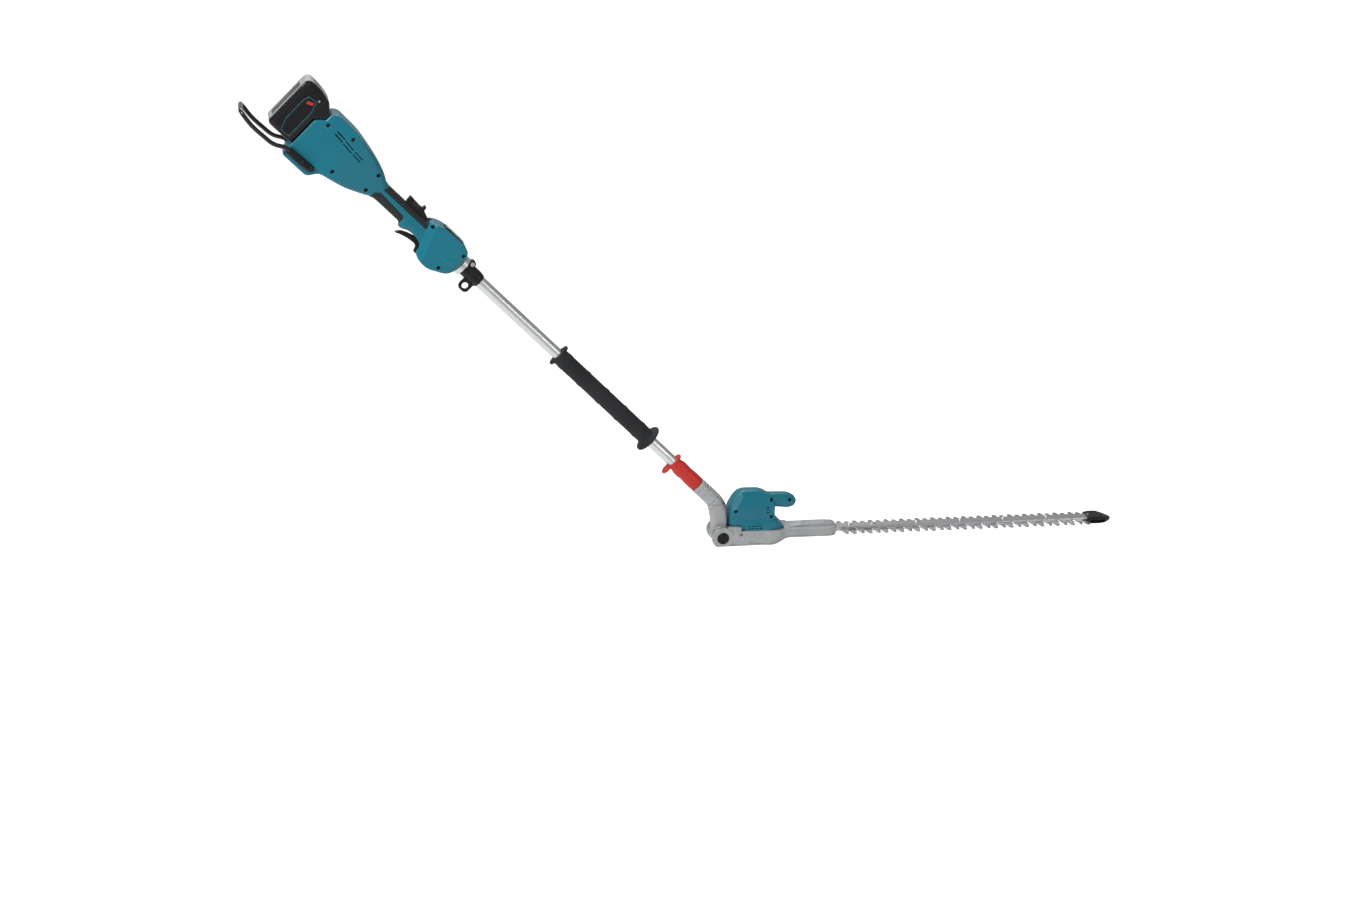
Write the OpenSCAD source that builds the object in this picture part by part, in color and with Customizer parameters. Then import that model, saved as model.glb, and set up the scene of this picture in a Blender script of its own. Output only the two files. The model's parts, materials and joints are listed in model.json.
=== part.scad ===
// Battery pole hedge trimmer with a tilting blade head.
// Origin: flat underside of the gear case, below the hinge axis. +X runs along the blades to
// their tip, +Y is the hinge axis, +Z is up. The pole rises to the rear at rest_tilt.

/* [Pole] */
// Outside diameter of the pole tube
tube_d = 25; // [24:0.5:25]
// Wall thickness of the pole tube
tube_wall = 1.6; // [1.2:0.1:2]
// Angle between the pole and level at the top notch of the head
rest_tilt = 44; // [40:1:46]
// Distance from the hinge axis to the pole axis
pole_offset = 45; // [45:0.5:46]

/* [Grips] */
// Outside diameter of the front grip
grip_d = 38; // [36:1:42]
// Diameter of the hand stop at the head end of the front grip
hand_stop_d = 64; // [56:1:66]
// Length of the front grip
grip_len = 286; // [250:1:290]
// Width of the rear handle
handle_w = 37; // [36:1:40]

/* [Rear housing] */
// Width across the rear housing
rear_w = 84; // [82:1:88]
// Width across the switch housing
switch_w = 66; // [62:1:70]
// Wall of the moulded shells
shell_wall = 3; // [2.5:0.1:3]
// Thickness of the soft handle rubber
rubber_t = 2.2; // [1.8:0.1:2.2]
// Bar diameter of the guard loop
guard_bar_d = 9; // [8:0.5:9]
// Width across the battery
battery_w = 82; // [78:1:84]

/* [Head] */
// Height of the hinge axis over the underside
pivot_h = 20; // [20:0.5:21]
// Radius of the hinge bosses
boss_r = 25; // [24:0.5:26]
// Diameter of the hinge bolt
hinge_d = 12; // [10:0.5:12]
// Width across the gear case
case_w = 66; // [66:1:68]
// Width across the gear case nose
nose_w = 54; // [50:1:56]
// Travel of the lock sleeve
lock_travel = 6; // [5:0.5:6]

/* [Blades] */
// Distance between teeth on one edge of one blade
tooth_pitch = 37.5; // [36:0.5:38]
// Width across the tooth tips
tooth_span = 76; // [70:1:80]
// Thickness of each blade
blade_t = 2.2; // [1.8:0.1:2.2]
// Width of the guide bar
bar_w = 25; // [24:0.5:26]
// Thickness of the guide bar
bar_t = 5; // [4:0.5:5]

/* [Hidden] */
$fn = 48;

teal = [0.03, 0.45, 0.53];
black = [0.10, 0.10, 0.11];
dark_rubber = [0.17, 0.18, 0.19];
silver = [0.82, 0.84, 0.85];
cast_grey = [0.60, 0.62, 0.62];
steel = [0.66, 0.67, 0.68];
red = [0.80, 0.16, 0.13];
copper = [0.72, 0.42, 0.24];

tube_r = tube_d / 2;
slip = 0.05;
gap = 0.2;

// Stations along the pole, measured from the foot of the hinge axis
tube_rear = -905;
tube_front = -62;
arm_rear = -125;
sleeve_rear = -205;
grip_front = -280;
clamp_rear = -846;
clamp_front = -801;
collar_rear = -857;
housing_rear = -1280;
battery_front = -1282;
battery_rear = -1342;

// Moulded housing, side outline from the lower rear corner round through the front
housing_side = [
    [-1276, -79], [-1214, -79], [-1200, -56], [-1142, -46], [-1104, -31], [-1086, -22],
    [-1011, -22], [-1005, -31], [-998, -30], [-982, -22], [-965, -21], [-951, -25],
    [-944, -34], [-945, -42], [-936, -50], [-908, -53], [-868, -33], [-858, -18],
    [collar_rear, 16], [-866, 30], [-881, 36], [-938, 34.5], [-968, 24], [-971, 17],
    [-1074, 17], [-1087, 20], [-1098, 28], [-1124, 38], [-1150, 45], [-1196, 54],
    [-1250, 55], [-1262, 46], [-1262, 31], [housing_rear, 15], [housing_rear, -60]
];
// Half of the housing's plan outline, mirrored below
housing_half_plan = [
    [housing_rear, rear_w / 2], [-1190, rear_w / 2], [-1084, handle_w / 2 + 2],
    [-1076, handle_w / 2], [-968, handle_w / 2], [-948, switch_w / 2],
    [-870, switch_w / 2], [collar_rear, switch_w / 2 - 7]
];
upper_rubber_zone = [[-1080, 5], [-961, 5], [-968, 22], [-970, 40], [-1072, 40], [-1074, 17]];
lower_rubber_zone = [[-1092, -40], [-1006, -40], [-1013, -7], [-1080, -3], [-1090, -10]];
// Screws that join the housing halves: [x, z, half width of the housing there]
housing_screw_list = [
    [-1252, 26, rear_w / 2], [-1197, 39, rear_w / 2], [-1183, -36, rear_w / 2 - 2],
    [-1109, 20, 25], [-1107, -19, 25], [-957, 19, 26],
    [-870, 19, switch_w / 2], [-891, -34, switch_w / 2]
];

// Head, side outlines above the underside
cover_side = [
    [14, 46], [40, 46], [40, 36], [143, 36], [140, 42], [131, 50], [121, 62], [117, 70],
    [117, 98], [98, 116], [82, 124], [42, 124], [27, 111], [14, 80]
];
cover_half_plan = [[14, 25], [30, case_w / 2], [110, case_w / 2], [143, 22]];
cover_handle_side = [
    [98, 84], [134, 80], [152, 78], [163, 82], [169, 90], [169, 99], [162, 109],
    [149, 113], [98, 113]
];
cover_handle_half = 17;
cover_screw_list = [[27, 81, 28], [108, 104, 15], [152, 100, 15], [109, 66, 28]];
case_half_plan = [
    [28, case_w / 2], [130, case_w / 2], [150, nose_w / 2], [256, nose_w / 2], [268, 18]
];

// Drive
gear_module = 0.95;
gear_teeth = 55;
pinion_teeth = 11;
crank_x = 101;
motor_x = crank_x - gear_module * (gear_teeth + pinion_teeth) / 2 - 0.1;
crank_throw = tooth_pitch / 4;
cam_r = crank_throw + 5.1;
yoke_slack = 2.3;
case_bottom = 4;
skid_t = 2;
blade_bottom = 18.8;
blade_gap = 0.1;
upper_blade_z = blade_bottom + blade_t + blade_gap;
bar_z = upper_blade_z + blade_t + blade_gap;
case_ceiling = 31;
gear_z = 24.3;
gear_h = 6;
cover_floor = 36;

// Blades
first_tooth = 285;
tooth_count = 17;
blade_strip_w = bar_w - 1;
bar_front = 905;
bolt_xs = [302, 357, 462, 567, 672, 777, 878];
anchor_xs = [190, 245];
bolt_r = 3;

// ---------- helpers ----------

// Solid from an X-Z outline, between two Y planes
module side_prism(points, y0, y1) {
    translate([0, y1, 0])
        rotate([90, 0, 0])
            linear_extrude(height = y1 - y0)
                polygon(points);
}

// Solid from an X-Y outline, between two Z planes
module plan_prism(points, z0, z1) {
    translate([0, 0, z0])
        linear_extrude(height = z1 - z0)
            polygon(points);
}

module along_y(x, z, y0, y1, r) {
    translate([x, y0, z])
        rotate([-90, 0, 0])
            cylinder(h = y1 - y0, r = r);
}

module along_x(x0, x1, r, y = 0, z = 0) {
    translate([x0, y, z])
        rotate([0, 90, 0])
            cylinder(h = x1 - x0, r = r);
}

module along_z(x, y, z0, z1, r) {
    translate([x, y, z0])
        cylinder(h = z1 - z0, r = r);
}

module hex_along_y(x, z, y0, y1, r) {
    translate([x, y0, z])
        rotate([-90, 0, 0])
            cylinder(h = y1 - y0, r = r, $fn = 6);
}

// Box from its two corners
module block(low, high) {
    translate(low)
        cube(high - low);
}

module ring(x, y, z0, z1, r_in, r_out) {
    difference() {
        along_z(x, y, z0, z1, r_out);
        along_z(x, y, z0 - 1, z1 + 1, r_in);
    }
}

// The pole's own frame: X along the pole towards the head, Z square to it
module on_pole() {
    translate([0, 0, pivot_h])
        rotate([0, rest_tilt, 0])
            translate([0, 0, pole_offset])
                children();
}

// Closed outline from one half of a plan
function mirrored(half) =
    concat(
        [for (p = half) [p[0], -p[1]]],
        [for (i = [len(half) - 1:-1:0]) half[i]]
    );

function unit(v) = v / norm(v);
function inward(a, b) =
    let (d = unit(b - a))
    [-d[1], d[0]];

// Outline moved inwards by d; the points run anticlockwise
function inset(points, d) =
    let (n = len(points))
    [for (i = [0:n - 1])
        let (m1 = inward(points[(i + n - 1) % n], points[i]),
             m2 = inward(points[i], points[(i + 1) % n]))
        points[i] + d * (m1 + m2) / (1 + m1 * m2)];

// One rounded tube along a coil: points of a polygonal bar swept round the X axis
module coil(x0, x1, r, wire_r, turns) {
    per_turn = 16;
    sides = 6;
    steps = per_turn * turns;
    rings = [for (i = [0:steps])
        let (a = 360 * i / per_turn, x = x0 + (x1 - x0) * i / steps)
        [for (k = [0:sides - 1])
            let (b = 360 * k / sides, q = r + wire_r * cos(b))
            [x + wire_r * sin(b), q * cos(a), q * sin(a)]]];
    points = [for (loop = rings) for (p = loop) p];
    walls = [for (i = [0:steps - 1]) for (k = [0:sides - 1])
        let (a = i * sides + k, b = i * sides + (k + 1) % sides)
        [a, b, b + sides, a + sides]];
    first_cap = [for (k = [sides - 1:-1:0]) k];
    last_cap = [for (k = [0:sides - 1]) steps * sides + k];
    polyhedron(points = points, faces = concat([first_cap], walls, [last_cap]), convexity = 10);
}

// Spur gear outline with straight-flanked teeth
function gear_outline(teeth) =
    let (pitch_r = gear_module * teeth / 2, step = 360 / teeth)
    [for (i = [0:teeth - 1]) for (q = [
            [-0.31, pitch_r - 1.15 * gear_module], [-0.11, pitch_r + 0.8 * gear_module],
            [0.11, pitch_r + 0.8 * gear_module], [0.31, pitch_r - 1.15 * gear_module]])
        let (a = step * (i + q[0]))
        q[1] * [cos(a), sin(a)]];

// ---------- pole ----------

module pole_tube() {
    color(silver)
        on_pole()
            difference() {
                along_x(tube_rear, tube_front, tube_r);
                along_x(tube_rear - 1, tube_front + 1, tube_r - tube_wall);
            }
}

module power_cable() {
    cable_r = 2.5;
    color(black)
        on_pole()
            along_x(-1120, tube_front - 2, cable_r, y = 7.5, z = 2);
}

// ---------- rear housing ----------

module housing_form(d) {
    intersection() {
        side_prism(inset(housing_side, d), -60, 60);
        plan_prism(inset(mirrored(housing_half_plan), d), -120, 120);
    }
}

module rubber_zones() {
    side_prism(upper_rubber_zone, -60, 60);
    side_prism(lower_rubber_zone, -60, 60);
}

module housing_openings() {
    // battery terminal, trigger, lock-off lever, control panel and pole
    block([housing_rear - 5, -30 - gap, -50 - gap], [housing_rear + 15, 30 + gap, 12 + gap]);
    block([-1003, -8, -60], [-928, 8, -14]);
    block([-1033, -7.5, 8], [-962, 7.5, 40]);
    block([-936 - gap, -15 - gap, 31], [-884 + gap, 15 + gap, 40]);
    along_x(tube_rear - 5, -840, tube_r);
    along_y(-972, 13, -9, 9, 2.5);
    along_y(-930, -14, -10, 10, 2.5);
    // vents
    for (row = [0, 1], k = [-1, 0, 1], side = [-1, 1])
        translate([-1193 + 26 * k, side * 36, 26 - 7 * row - 2.2 * k])
            rotate([0, 4.5, 0])
                cube([21, 30, 2], center = true);
}

// side is -1 for the left half and 1 for the right half
module housing_half(side) {
    difference() {
        union() {
            difference() {
                housing_form(0);
                rubber_zones();
                difference() {
                    housing_form(shell_wall);
                    rubber_zones();
                }
                housing_form(rubber_t + shell_wall);
            }
            difference() {
                housing_form(rubber_t);
                housing_form(rubber_t + shell_wall);
            }
            intersection() {
                housing_form(1);
                union() {
                    for (s = housing_screw_list)
                        along_y(s[0], s[1], -s[2], s[2], 6.3);
                    block([-891, -40, -60], [-886, 40, 40]);
                }
            }
        }
        translate([-1500, side > 0 ? -100 : 0, -200])
            cube([800, 100, 400]);
        housing_openings();
        for (s = housing_screw_list) {
            along_y(s[0], s[1], -s[2], s[2] - 8, 1.8);
            along_y(s[0], s[1], -80, -s[2] + 9, 4.3);
        }
    }
}

module left_housing() {
    color(teal)
        on_pole()
            housing_half(-1);
}

module right_housing() {
    color(teal)
        on_pole()
            housing_half(1);
}

module grip_rubber(side) {
    difference() {
        intersection() {
            housing_form(0);
            rubber_zones();
        }
        housing_form(rubber_t);
        translate([-1500, side > 0 ? -100 : 0, -200])
            cube([800, 100, 400]);
        housing_openings();
    }
}

module left_grip_rubber() {
    color(dark_rubber)
        on_pole()
            grip_rubber(-1);
}

module right_grip_rubber() {
    color(dark_rubber)
        on_pole()
            grip_rubber(1);
}

module housing_screws() {
    color(black)
        on_pole()
            for (s = housing_screw_list)
                difference() {
                    union() {
                        along_y(s[0], s[1], -s[2] + 9, s[2] - 9, 1.75);
                        along_y(s[0], s[1], -s[2] + 6, -s[2] + 9, 3.8);
                    }
                    hex_along_y(s[0], s[1], -s[2] + 5, -s[2] + 8, 2);
                }
}

// Guard loop behind the battery, one bent bar with a leg on each side
guard_half = 47;
guard_leg = [
    [-1230, guard_half, -60], [-1281, guard_half, -62], [-1304, guard_half, -75],
    [-1358, guard_half, -77], [-1382, guard_half, -72], [-1389.5, guard_half - 3, -70.5],
    [-1392.5, guard_half - 10, -70]
];
guard_path = concat(
    guard_leg,
    [for (i = [len(guard_leg) - 1:-1:0]) [guard_leg[i][0], -guard_leg[i][1], guard_leg[i][2]]]
);

// The bent bar from one point of its path to another, as a chain of round-ended links
module guard_bar(first, last, r) {
    for (i = [first:last - 1])
        hull()
            for (p = [guard_path[i], guard_path[i + 1]])
                translate(p)
                    sphere(r, $fn = 24);
}

module guard_loop() {
    color(black)
        on_pole()
            guard_bar(0, len(guard_path) - 1, guard_bar_d / 2);
}

bracket_outline = [
    [-1278, -69], [-1240, -69], [-1216, -65], [-1211, -58], [-1216, -52], [-1240, -53],
    [-1278, -55]
];
bracket_bolts = [[-1241, -61], [-1221, -59]];

module guard_brackets() {
    color(black)
        on_pole()
            for (side = [0, 1])
                mirror([0, side, 0])
                    difference() {
                        side_prism(bracket_outline, rear_w / 2, rear_w / 2 + 10);
                        guard_bar(0, 2, guard_bar_d / 2 + slip);
                        for (b = bracket_bolts)
                            along_y(b[0], b[1], 0, 80, 2);
                    }
}

module bracket_screws() {
    color(black)
        on_pole()
            for (side = [0, 1], b = bracket_bolts)
                mirror([0, side, 0])
                    difference() {
                        along_y(b[0], b[1], rear_w / 2 + 10, rear_w / 2 + 12, 4);
                        hex_along_y(b[0], b[1], rear_w / 2 + 11, rear_w / 2 + 13, 2);
                    }
}

// ---------- controls ----------

module control_panel() {
    color(black)
        on_pole()
            difference() {
                block([-936, -15, 31.2], [-884, 15, 37]);
                along_z(-925, 0, 33, 40, 5.2);
                along_z(-903, 0, 33, 40, 4.2);
            }
}

module button(x, r) {
    difference() {
        along_z(x, 0, 34.5, 38.2, r);
        ring(x, 0, 37.8, 39, r - 2, r - 1.2);
    }
}

module power_button() {
    color(cast_grey)
        on_pole()
            button(-925, 5.1);
}

module speed_button() {
    color(cast_grey)
        on_pole()
            button(-903, 4.1);
}

trigger_outline = [
    [-1002, -45], [-989, -39], [-973, -35], [-957, -33.5], [-949, -37], [-946, -48],
    [-938, -48], [-933, -36], [-924, -16], [-927, -9], [-934, -8], [-948, -14],
    [-965, -23], [-982, -28], [-996, -35]
];

module trigger() {
    color(black)
        on_pole()
            difference() {
                side_prism(trigger_outline, -7, 7);
                along_y(-930, -14, -10, 10, 2.05);
            }
}

lever_outline = [
    [-1029, 18], [-1020, 12], [-975, 9], [-969, 9], [-966, 14], [-966, 20], [-989, 29],
    [-990, 37], [-994, 38], [-997, 30], [-1014, 31.5], [-1030, 32.5]
];

module lock_off_lever() {
    color(black)
        on_pole()
            difference() {
                side_prism(lever_outline, -7, 7);
                along_y(-972, 13, -10, 10, 2.05);
                for (side = [-1, 1])
                    block([-1035, side * 6 - 1.5, 0], [-980, side * 6 + 1.5, 16]);
            }
}

module lever_pins() {
    color(steel)
        on_pole() {
            along_y(-930, -14, -9.5, 9.5, 2);
            along_y(-972, 13, -8.7, 8.7, 2);
        }
}

module trigger_switch() {
    color(black)
        on_pole()
            difference() {
                block([-1002, -12, -11], [-968, 4, 0]);
                block([-1000, -14, -9], [-998, 6, -7]);
            }
}

module controller() {
    color([0.08, 0.25, 0.16])
        on_pole()
            difference() {
                block([-1238, -22, -24], [-1122, 22, 26]);
                for (i = [0:6])
                    block([-1230 + 15 * i, -16, 14], [-1222 + 15 * i, 16, 30]);
            }
}

// ---------- battery ----------

battery_side = [
    [battery_rear, -46], [-1334, -52], [-1290, -52], [battery_front, -46],
    [battery_front, 16], [-1264.5, 32], [-1264.5, 43], [-1281, 61], [-1312, 68],
    [-1335, 68], [battery_rear, 60]
];
battery_half_end = [[-52, 37], [-44, battery_w / 2], [60, battery_w / 2], [70, 33]];

// T-shaped rail on the housing, and the channel for it in the battery
module rail(play) {
    block([-1295 - play, -28 - play, -50 - play], [-1290, 28 + play, 10 + play]);
    block([-1291, -22 - play, -50 - play], [housing_rear, 22 + play, 10 + play]);
}

module battery_terminal() {
    color(black)
        on_pole()
            difference() {
                union() {
                    rail(0);
                    block([housing_rear, -30, -50], [-1268, 30, 12]);
                }
                for (y = [-12, 0, 12])
                    block([-1300, y - 1, -60], [-1286, y + 1, -8]);
            }
}

module battery_form(d) {
    intersection() {
        side_prism(inset(battery_side, d), -60, 60);
        rotate([0, 90, 0])
            rotate([0, 0, 180])
                plan_prism(inset(mirrored(battery_half_end), d), -1400, -1200);
    }
}

module latch_form(play) {
    block([-1276 - play, -14 - play, 40], [-1255, 14 + play, 56 + play]);
}

module battery_case() {
    color(black)
        on_pole()
            difference() {
                battery_form(0);
                difference() {
                    battery_form(2.5);
                    block([-1298, -50, -80], [-1200, 50, 28]);
                    block([-1280, -50, 28], [-1200, 50, 80]);
                }
                rail(0.3);
                block([-1296, -28.3, -80], [-1289.7, 28.3, -40]);
                block([-1292, -22.3, -80], [-1270, 22.3, -40]);
                latch_form(0.3);
                block([-1276.3, -14.3, 36.5], [-1255, 14.3, 42]);
            }
}

module battery_latch() {
    color(cast_grey)
        on_pole()
            intersection() {
                latch_form(0);
                battery_form(0.3);
            }
}

module battery_cells() {
    cell_r = 9.2;
    color([0.2, 0.35, 0.6])
        on_pole()
            for (i = [0:3], k = [0, 1])
                along_y(-1308.5 - 20 * k, -38 + 22 * i, -34, 34, cell_r);
}

// ---------- front of the pole ----------

module front_collar() {
    color(silver)
        on_pole()
            difference() {
                along_x(collar_rear, collar_rear + 10, 21);
                along_x(collar_rear - 1, collar_rear + 11, tube_r);
            }
}

hanger_eye = [-817, -27];
hanger_eye_r = 7;
hanger_half = 4;
hanger_bolt = [-839, 17];

module hanger_clamp() {
    color(black)
        on_pole()
            difference() {
                union() {
                    along_x(clamp_rear, clamp_front, 16.5);
                    along_y(hanger_bolt[0], hanger_bolt[1], -9, 9, 7.3);
                    block([clamp_rear, -9, 8], [clamp_rear + 14, 9, 17]);
                    side_prism(
                        [[-829, -34], [-825, -39], [-809, -39], [-805, -35], [-805, -12],
                         [-829, -12]],
                        -hanger_half, hanger_half
                    );
                }
                along_x(clamp_rear - 1, clamp_front + 1, tube_r);
                block([clamp_rear - 1, -1, 0], [clamp_front + 1, 1, 40]);
                along_y(hanger_bolt[0], hanger_bolt[1], -20, 20, 2.6);
                for (side = [0, 1])
                    mirror([0, side, 0])
                        along_y(hanger_bolt[0], hanger_bolt[1], 9, 20, 5.2);
                along_y(hanger_eye[0], hanger_eye[1], -20, 20, hanger_eye_r);
            }
}

module hanger_screw() {
    color(steel)
        on_pole() {
            along_y(hanger_bolt[0], hanger_bolt[1], -9, 12, 2.5);
            difference() {
                along_y(hanger_bolt[0], hanger_bolt[1], -12, -9, 4.5);
                hex_along_y(hanger_bolt[0], hanger_bolt[1], -13, -10, 2.5);
            }
            difference() {
                hex_along_y(hanger_bolt[0], hanger_bolt[1], 9, 12, 4.6);
                along_y(hanger_bolt[0], hanger_bolt[1], 8, 13, 2.5);
            }
        }
}

module front_grip() {
    r = grip_d / 2;
    rear = grip_front - grip_len;
    step = 57;
    color(dark_rubber)
        on_pole()
            difference() {
                union() {
                    along_x(rear + 2, grip_front, r - 0.6);
                    for (i = [0:4])
                        along_x(rear + 14 + step * i, rear + 24 + step * i, r + 0.4);
                    along_x(grip_front - 6, grip_front, hand_stop_d / 2);
                    intersection() {
                        along_x(rear, rear + 5, 22.5);
                        block([rear - 1, -r, -40], [rear + 6, r, 40]);
                    }
                }
                along_x(rear - 1, grip_front + 1, tube_r);
            }
}

// ---------- lock ----------

slider_outline = [
    [-19.8, -38], [-19.8, -32], [-22, -28], [-38, -12.8], [-150, -12.8], [-150, -15.8],
    [-42, -15.8], [-27, -30], [-26, -38]
];

// Room for the spring in the sleeve, and the spring's own place in it
spring_room = [-180, -152];
spring_rear = spring_room[0] + 2.5;
spring_len = spring_room[1] - lock_travel - 2 - spring_rear;

module lock_sleeve() {
    color(red)
        on_pole()
            difference() {
                union() {
                    along_x(sleeve_rear, -190, 15.5);
                    along_x(-190, arm_rear - 1, 17.5);
                    translate([0, 0, -6])
                        intersection() {
                            along_x(sleeve_rear, sleeve_rear + 5, 28.5);
                            block([sleeve_rear - 1, -19, -40], [sleeve_rear + 6, 19, 40]);
                        }
                }
                along_x(sleeve_rear - 1, arm_rear, tube_r + slip);
                block([-150 - gap, -4, -15.8 - slip], [arm_rear, 4, 0]);
                along_x(spring_room[0], spring_room[1], 15.8);
            }
}

module lock_slider() {
    color(steel)
        on_pole()
            side_prism(slider_outline, -3.9, 3.9);
}

module lock_spring() {
    color(steel)
        on_pole()
            coil(spring_rear, spring_rear + spring_len, 14.2, 0.8, 5);
}

// ---------- elbow arm ----------

arm_outline = [
    [-95, -17], [-69, -17], [-36, -39], [-15, -57.5], [4, -60], [10, -40], [1, -30],
    [-35, 5], [-45, 13], [-62, 17], [-95, 17]
];
arm_cavity = [
    [-18, -39.5], [-18, -31], [-36, -11.5], [-60, -11.5], [-60, -16.4], [-55, -16.4],
    [-33.5, -30], [-33.5, -39]
];
arm_half = 20.8;
hub_r = 23;
disc_r = 20.5;
disc_half = 4;
arm_bolt_list = [[-52, 11], [-30, -17]];

module arm_form() {
    difference() {
        union() {
            along_x(arm_rear, -60, 17.2);
            side_prism(arm_outline, -17, 17);
            along_y(0, -pole_offset, -arm_half, arm_half, hub_r);
        }
        along_x(arm_rear - 1, tube_front, tube_r);
        side_prism(arm_cavity, -4.3, 4.3);
        block([arm_rear - 1, -4.1, -16], [-55, 4.1, -10]);
        along_y(0, -pole_offset, -disc_half - 0.4, disc_half + 0.4, disc_r + 0.6);
        along_y(0, -pole_offset, -30, 30, hinge_d / 2 + slip);
        block([-60, 2, -2], [-48, 10, 6]);
        for (b = arm_bolt_list)
            along_y(b[0], b[1], -12.5, 40, 2.1);
    }
}

module arm_half(side) {
    color(cast_grey)
        on_pole()
            difference() {
                arm_form();
                translate([-200, side > 0 ? -100 : 0, -100])
                    cube([300, 100, 200]);
            }
}

module left_arm_half() {
    arm_half(-1);
}

module right_arm_half() {
    arm_half(1);
}

module arm_bolts() {
    color(black)
        on_pole()
            for (b = arm_bolt_list) {
                along_y(b[0], b[1], -12, 17, 2);
                difference() {
                    along_y(b[0], b[1], 17, 19.5, 3.8);
                    hex_along_y(b[0], b[1], 18, 21, 2);
                }
            }
}

// ---------- hinge ----------

module hinge_bolt() {
    r = hinge_d / 2;
    color(steel) {
        along_y(0, pivot_h, -26, 26, r);
        hex_along_y(0, pivot_h, -30, -26, 10.5);
        hex_along_y(0, pivot_h, 26, 30, 10.5);
    }
}

module hinge_caps() {
    color(black)
        for (side = [0, 1])
            mirror([0, side, 0])
                difference() {
                    along_y(0, pivot_h, 30.1, case_w / 2 + 1.2, 12.9);
                    hex_along_y(0, pivot_h, case_w / 2 - 0.5, 40, 5);
                    difference() {
                        along_y(0, pivot_h, case_w / 2 + 0.4, 40, 10.5);
                        along_y(0, pivot_h, 30, 41, 9);
                    }
                }
}

notch_step = 15;

// Notched disc that turns with the head; the lock slider drops into its notches
module index_disc() {
    color(steel)
        difference() {
            along_y(0, pivot_h, -disc_half, disc_half, disc_r);
            along_y(0, pivot_h, -disc_half - 1, disc_half + 1, hinge_d / 2);
            for (a = [0:notch_step:345])
                translate([0, 0, pivot_h])
                    rotate([0, a + 2, 0])
                        block([17, -10, -1.5], [30, 10, 1.5]);
        }
}

// ---------- gear case ----------

case_side = [
    [28, case_bottom], [117, case_bottom], [149, 17], [264, 17], [268, 21], [268, 31],
    [264, 33], [40, 33], [28, 33]
];

module fork_cheek(side) {
    inner = arm_half + gap;
    y0 = side > 0 ? inner : -case_w / 2;
    y1 = side > 0 ? case_w / 2 : -inner;
    intersection() {
        union() {
            along_y(0, pivot_h, y0, y1, boss_r);
            side_prism([[0, 0], [28, 0], [28, case_bottom], [30, case_bottom], [30, 45.5], [12, 45.5], [10, 40]], y0, y1);
        }
        block([-60, -60, skid_t], [60, 60, 60]);
    }
}

module gear_case() {
    color(cast_grey)
        difference() {
            union() {
                intersection() {
                    side_prism(case_side, -60, 60);
                    plan_prism(mirrored(case_half_plan), -1, 60);
                }
                plan_prism(mirrored([[28, case_w / 2], [130, case_w / 2], [146, 26]]), 30, 35);
                side_prism([[28, 33], [40, 33], [40, 45.5], [28, 45.5]], -case_w / 2, case_w / 2);
                side_prism([[150, 33], [264, 33], [260, 38], [180, 38]], -13, 13);
                fork_cheek(-1);
                fork_cheek(1);
                along_z(motor_x, 0, 34, 42, 12.5);
                along_z(crank_x, 0, 34, 38.5, 12);
            }
            // gear room and blade channel
            block([58, -29.5, 3], [140, 29.5, case_ceiling]);
            block([139, -blade_strip_w / 2 - 0.7, 16], [270, blade_strip_w / 2 + 0.7, bar_z + bar_t]);
            // hinge bolt, its recesses, bearings and shaft
            along_y(0, pivot_h, -60, 60, hinge_d / 2);
            along_y(0, pivot_h, 26, 60, 13);
            along_y(0, pivot_h, -60, -26, 13);
            along_z(motor_x, 0, 30, 50, 7);
            along_z(motor_x, 0, 36.5, 50, 9.5);
            along_z(crank_x, 0, 30, 37, 9.5);
            for (x = anchor_xs)
                along_z(x, 0, 16, 35, bolt_r);
            for (b = case_bolt_list)
                along_z(b[0], b[1], 2, 24, 2);
            along_y(41, 27, -40, -30, 3.4);
        }
}

case_bolt_list = [
    [45, -25], [45, 25], [148, -22], [148, 22], [231, -20], [231, 20]
];

function bolt_floor(x) = x < 100 ? 0 : 13;

module case_base() {
    color(cast_grey)
        difference() {
            union() {
                intersection() {
                    side_prism(
                        [[-15, 0], [118, 0], [151, 13], [264, 13], [264, 17], [149, 17],
                         [117, case_bottom], [28, case_bottom], [28, skid_t], [-17.3, skid_t]],
                        -60, 60
                    );
                    plan_prism(base_plan, -5, 60);
                }
                along_z(crank_x, 0, 3, 12, 12.5);
            }
            along_z(crank_x, 0, 5, 20, 9.5);
            for (b = case_bolt_list) {
                along_z(b[0], b[1], -10, 40, 2.2);
                along_z(b[0], b[1], -10, bolt_floor(b[0]) + 2, 3.9);
            }
        }
}

// The base runs back under the fork as two skids, one below each cheek
skid_in = arm_half + gap;
base_plan = concat(
    mirrored([
        [-20, case_w / 2], [112, case_w / 2], [150, nose_w / 2 - 1], [256, nose_w / 2 - 1], [264, 19]
    ]),
    [[-20, skid_in], [28, skid_in], [28, -skid_in], [-20, -skid_in]]
);

module case_bolts() {
    color(black)
        for (b = case_bolt_list) {
            z0 = bolt_floor(b[0]);
            along_z(b[0], b[1], z0 + 2, 22, 1.95);
            difference() {
                along_z(b[0], b[1], z0, z0 + 2, 3.7);
                translate([b[0], b[1], z0 - 1])
                    cylinder(h = 2, r = 2, $fn = 6);
            }
        }
}

// ---------- motor cover ----------

function cover_end_profile() = mirrored([
    [cover_floor - 1, case_w / 2], [88, case_w / 2], [112, 27], [124.5, 18]
]);

module cover_form(d) {
    intersection() {
        side_prism(inset(cover_side, d), -60, 60);
        plan_prism(inset(mirrored(cover_half_plan), d), 0, 200);
        rotate([0, -90, 0])
            plan_prism(inset(cover_end_profile(), d), -300, 0);
    }
    side_prism(inset(cover_handle_side, d), -cover_handle_half + d, cover_handle_half - d);
}

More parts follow.
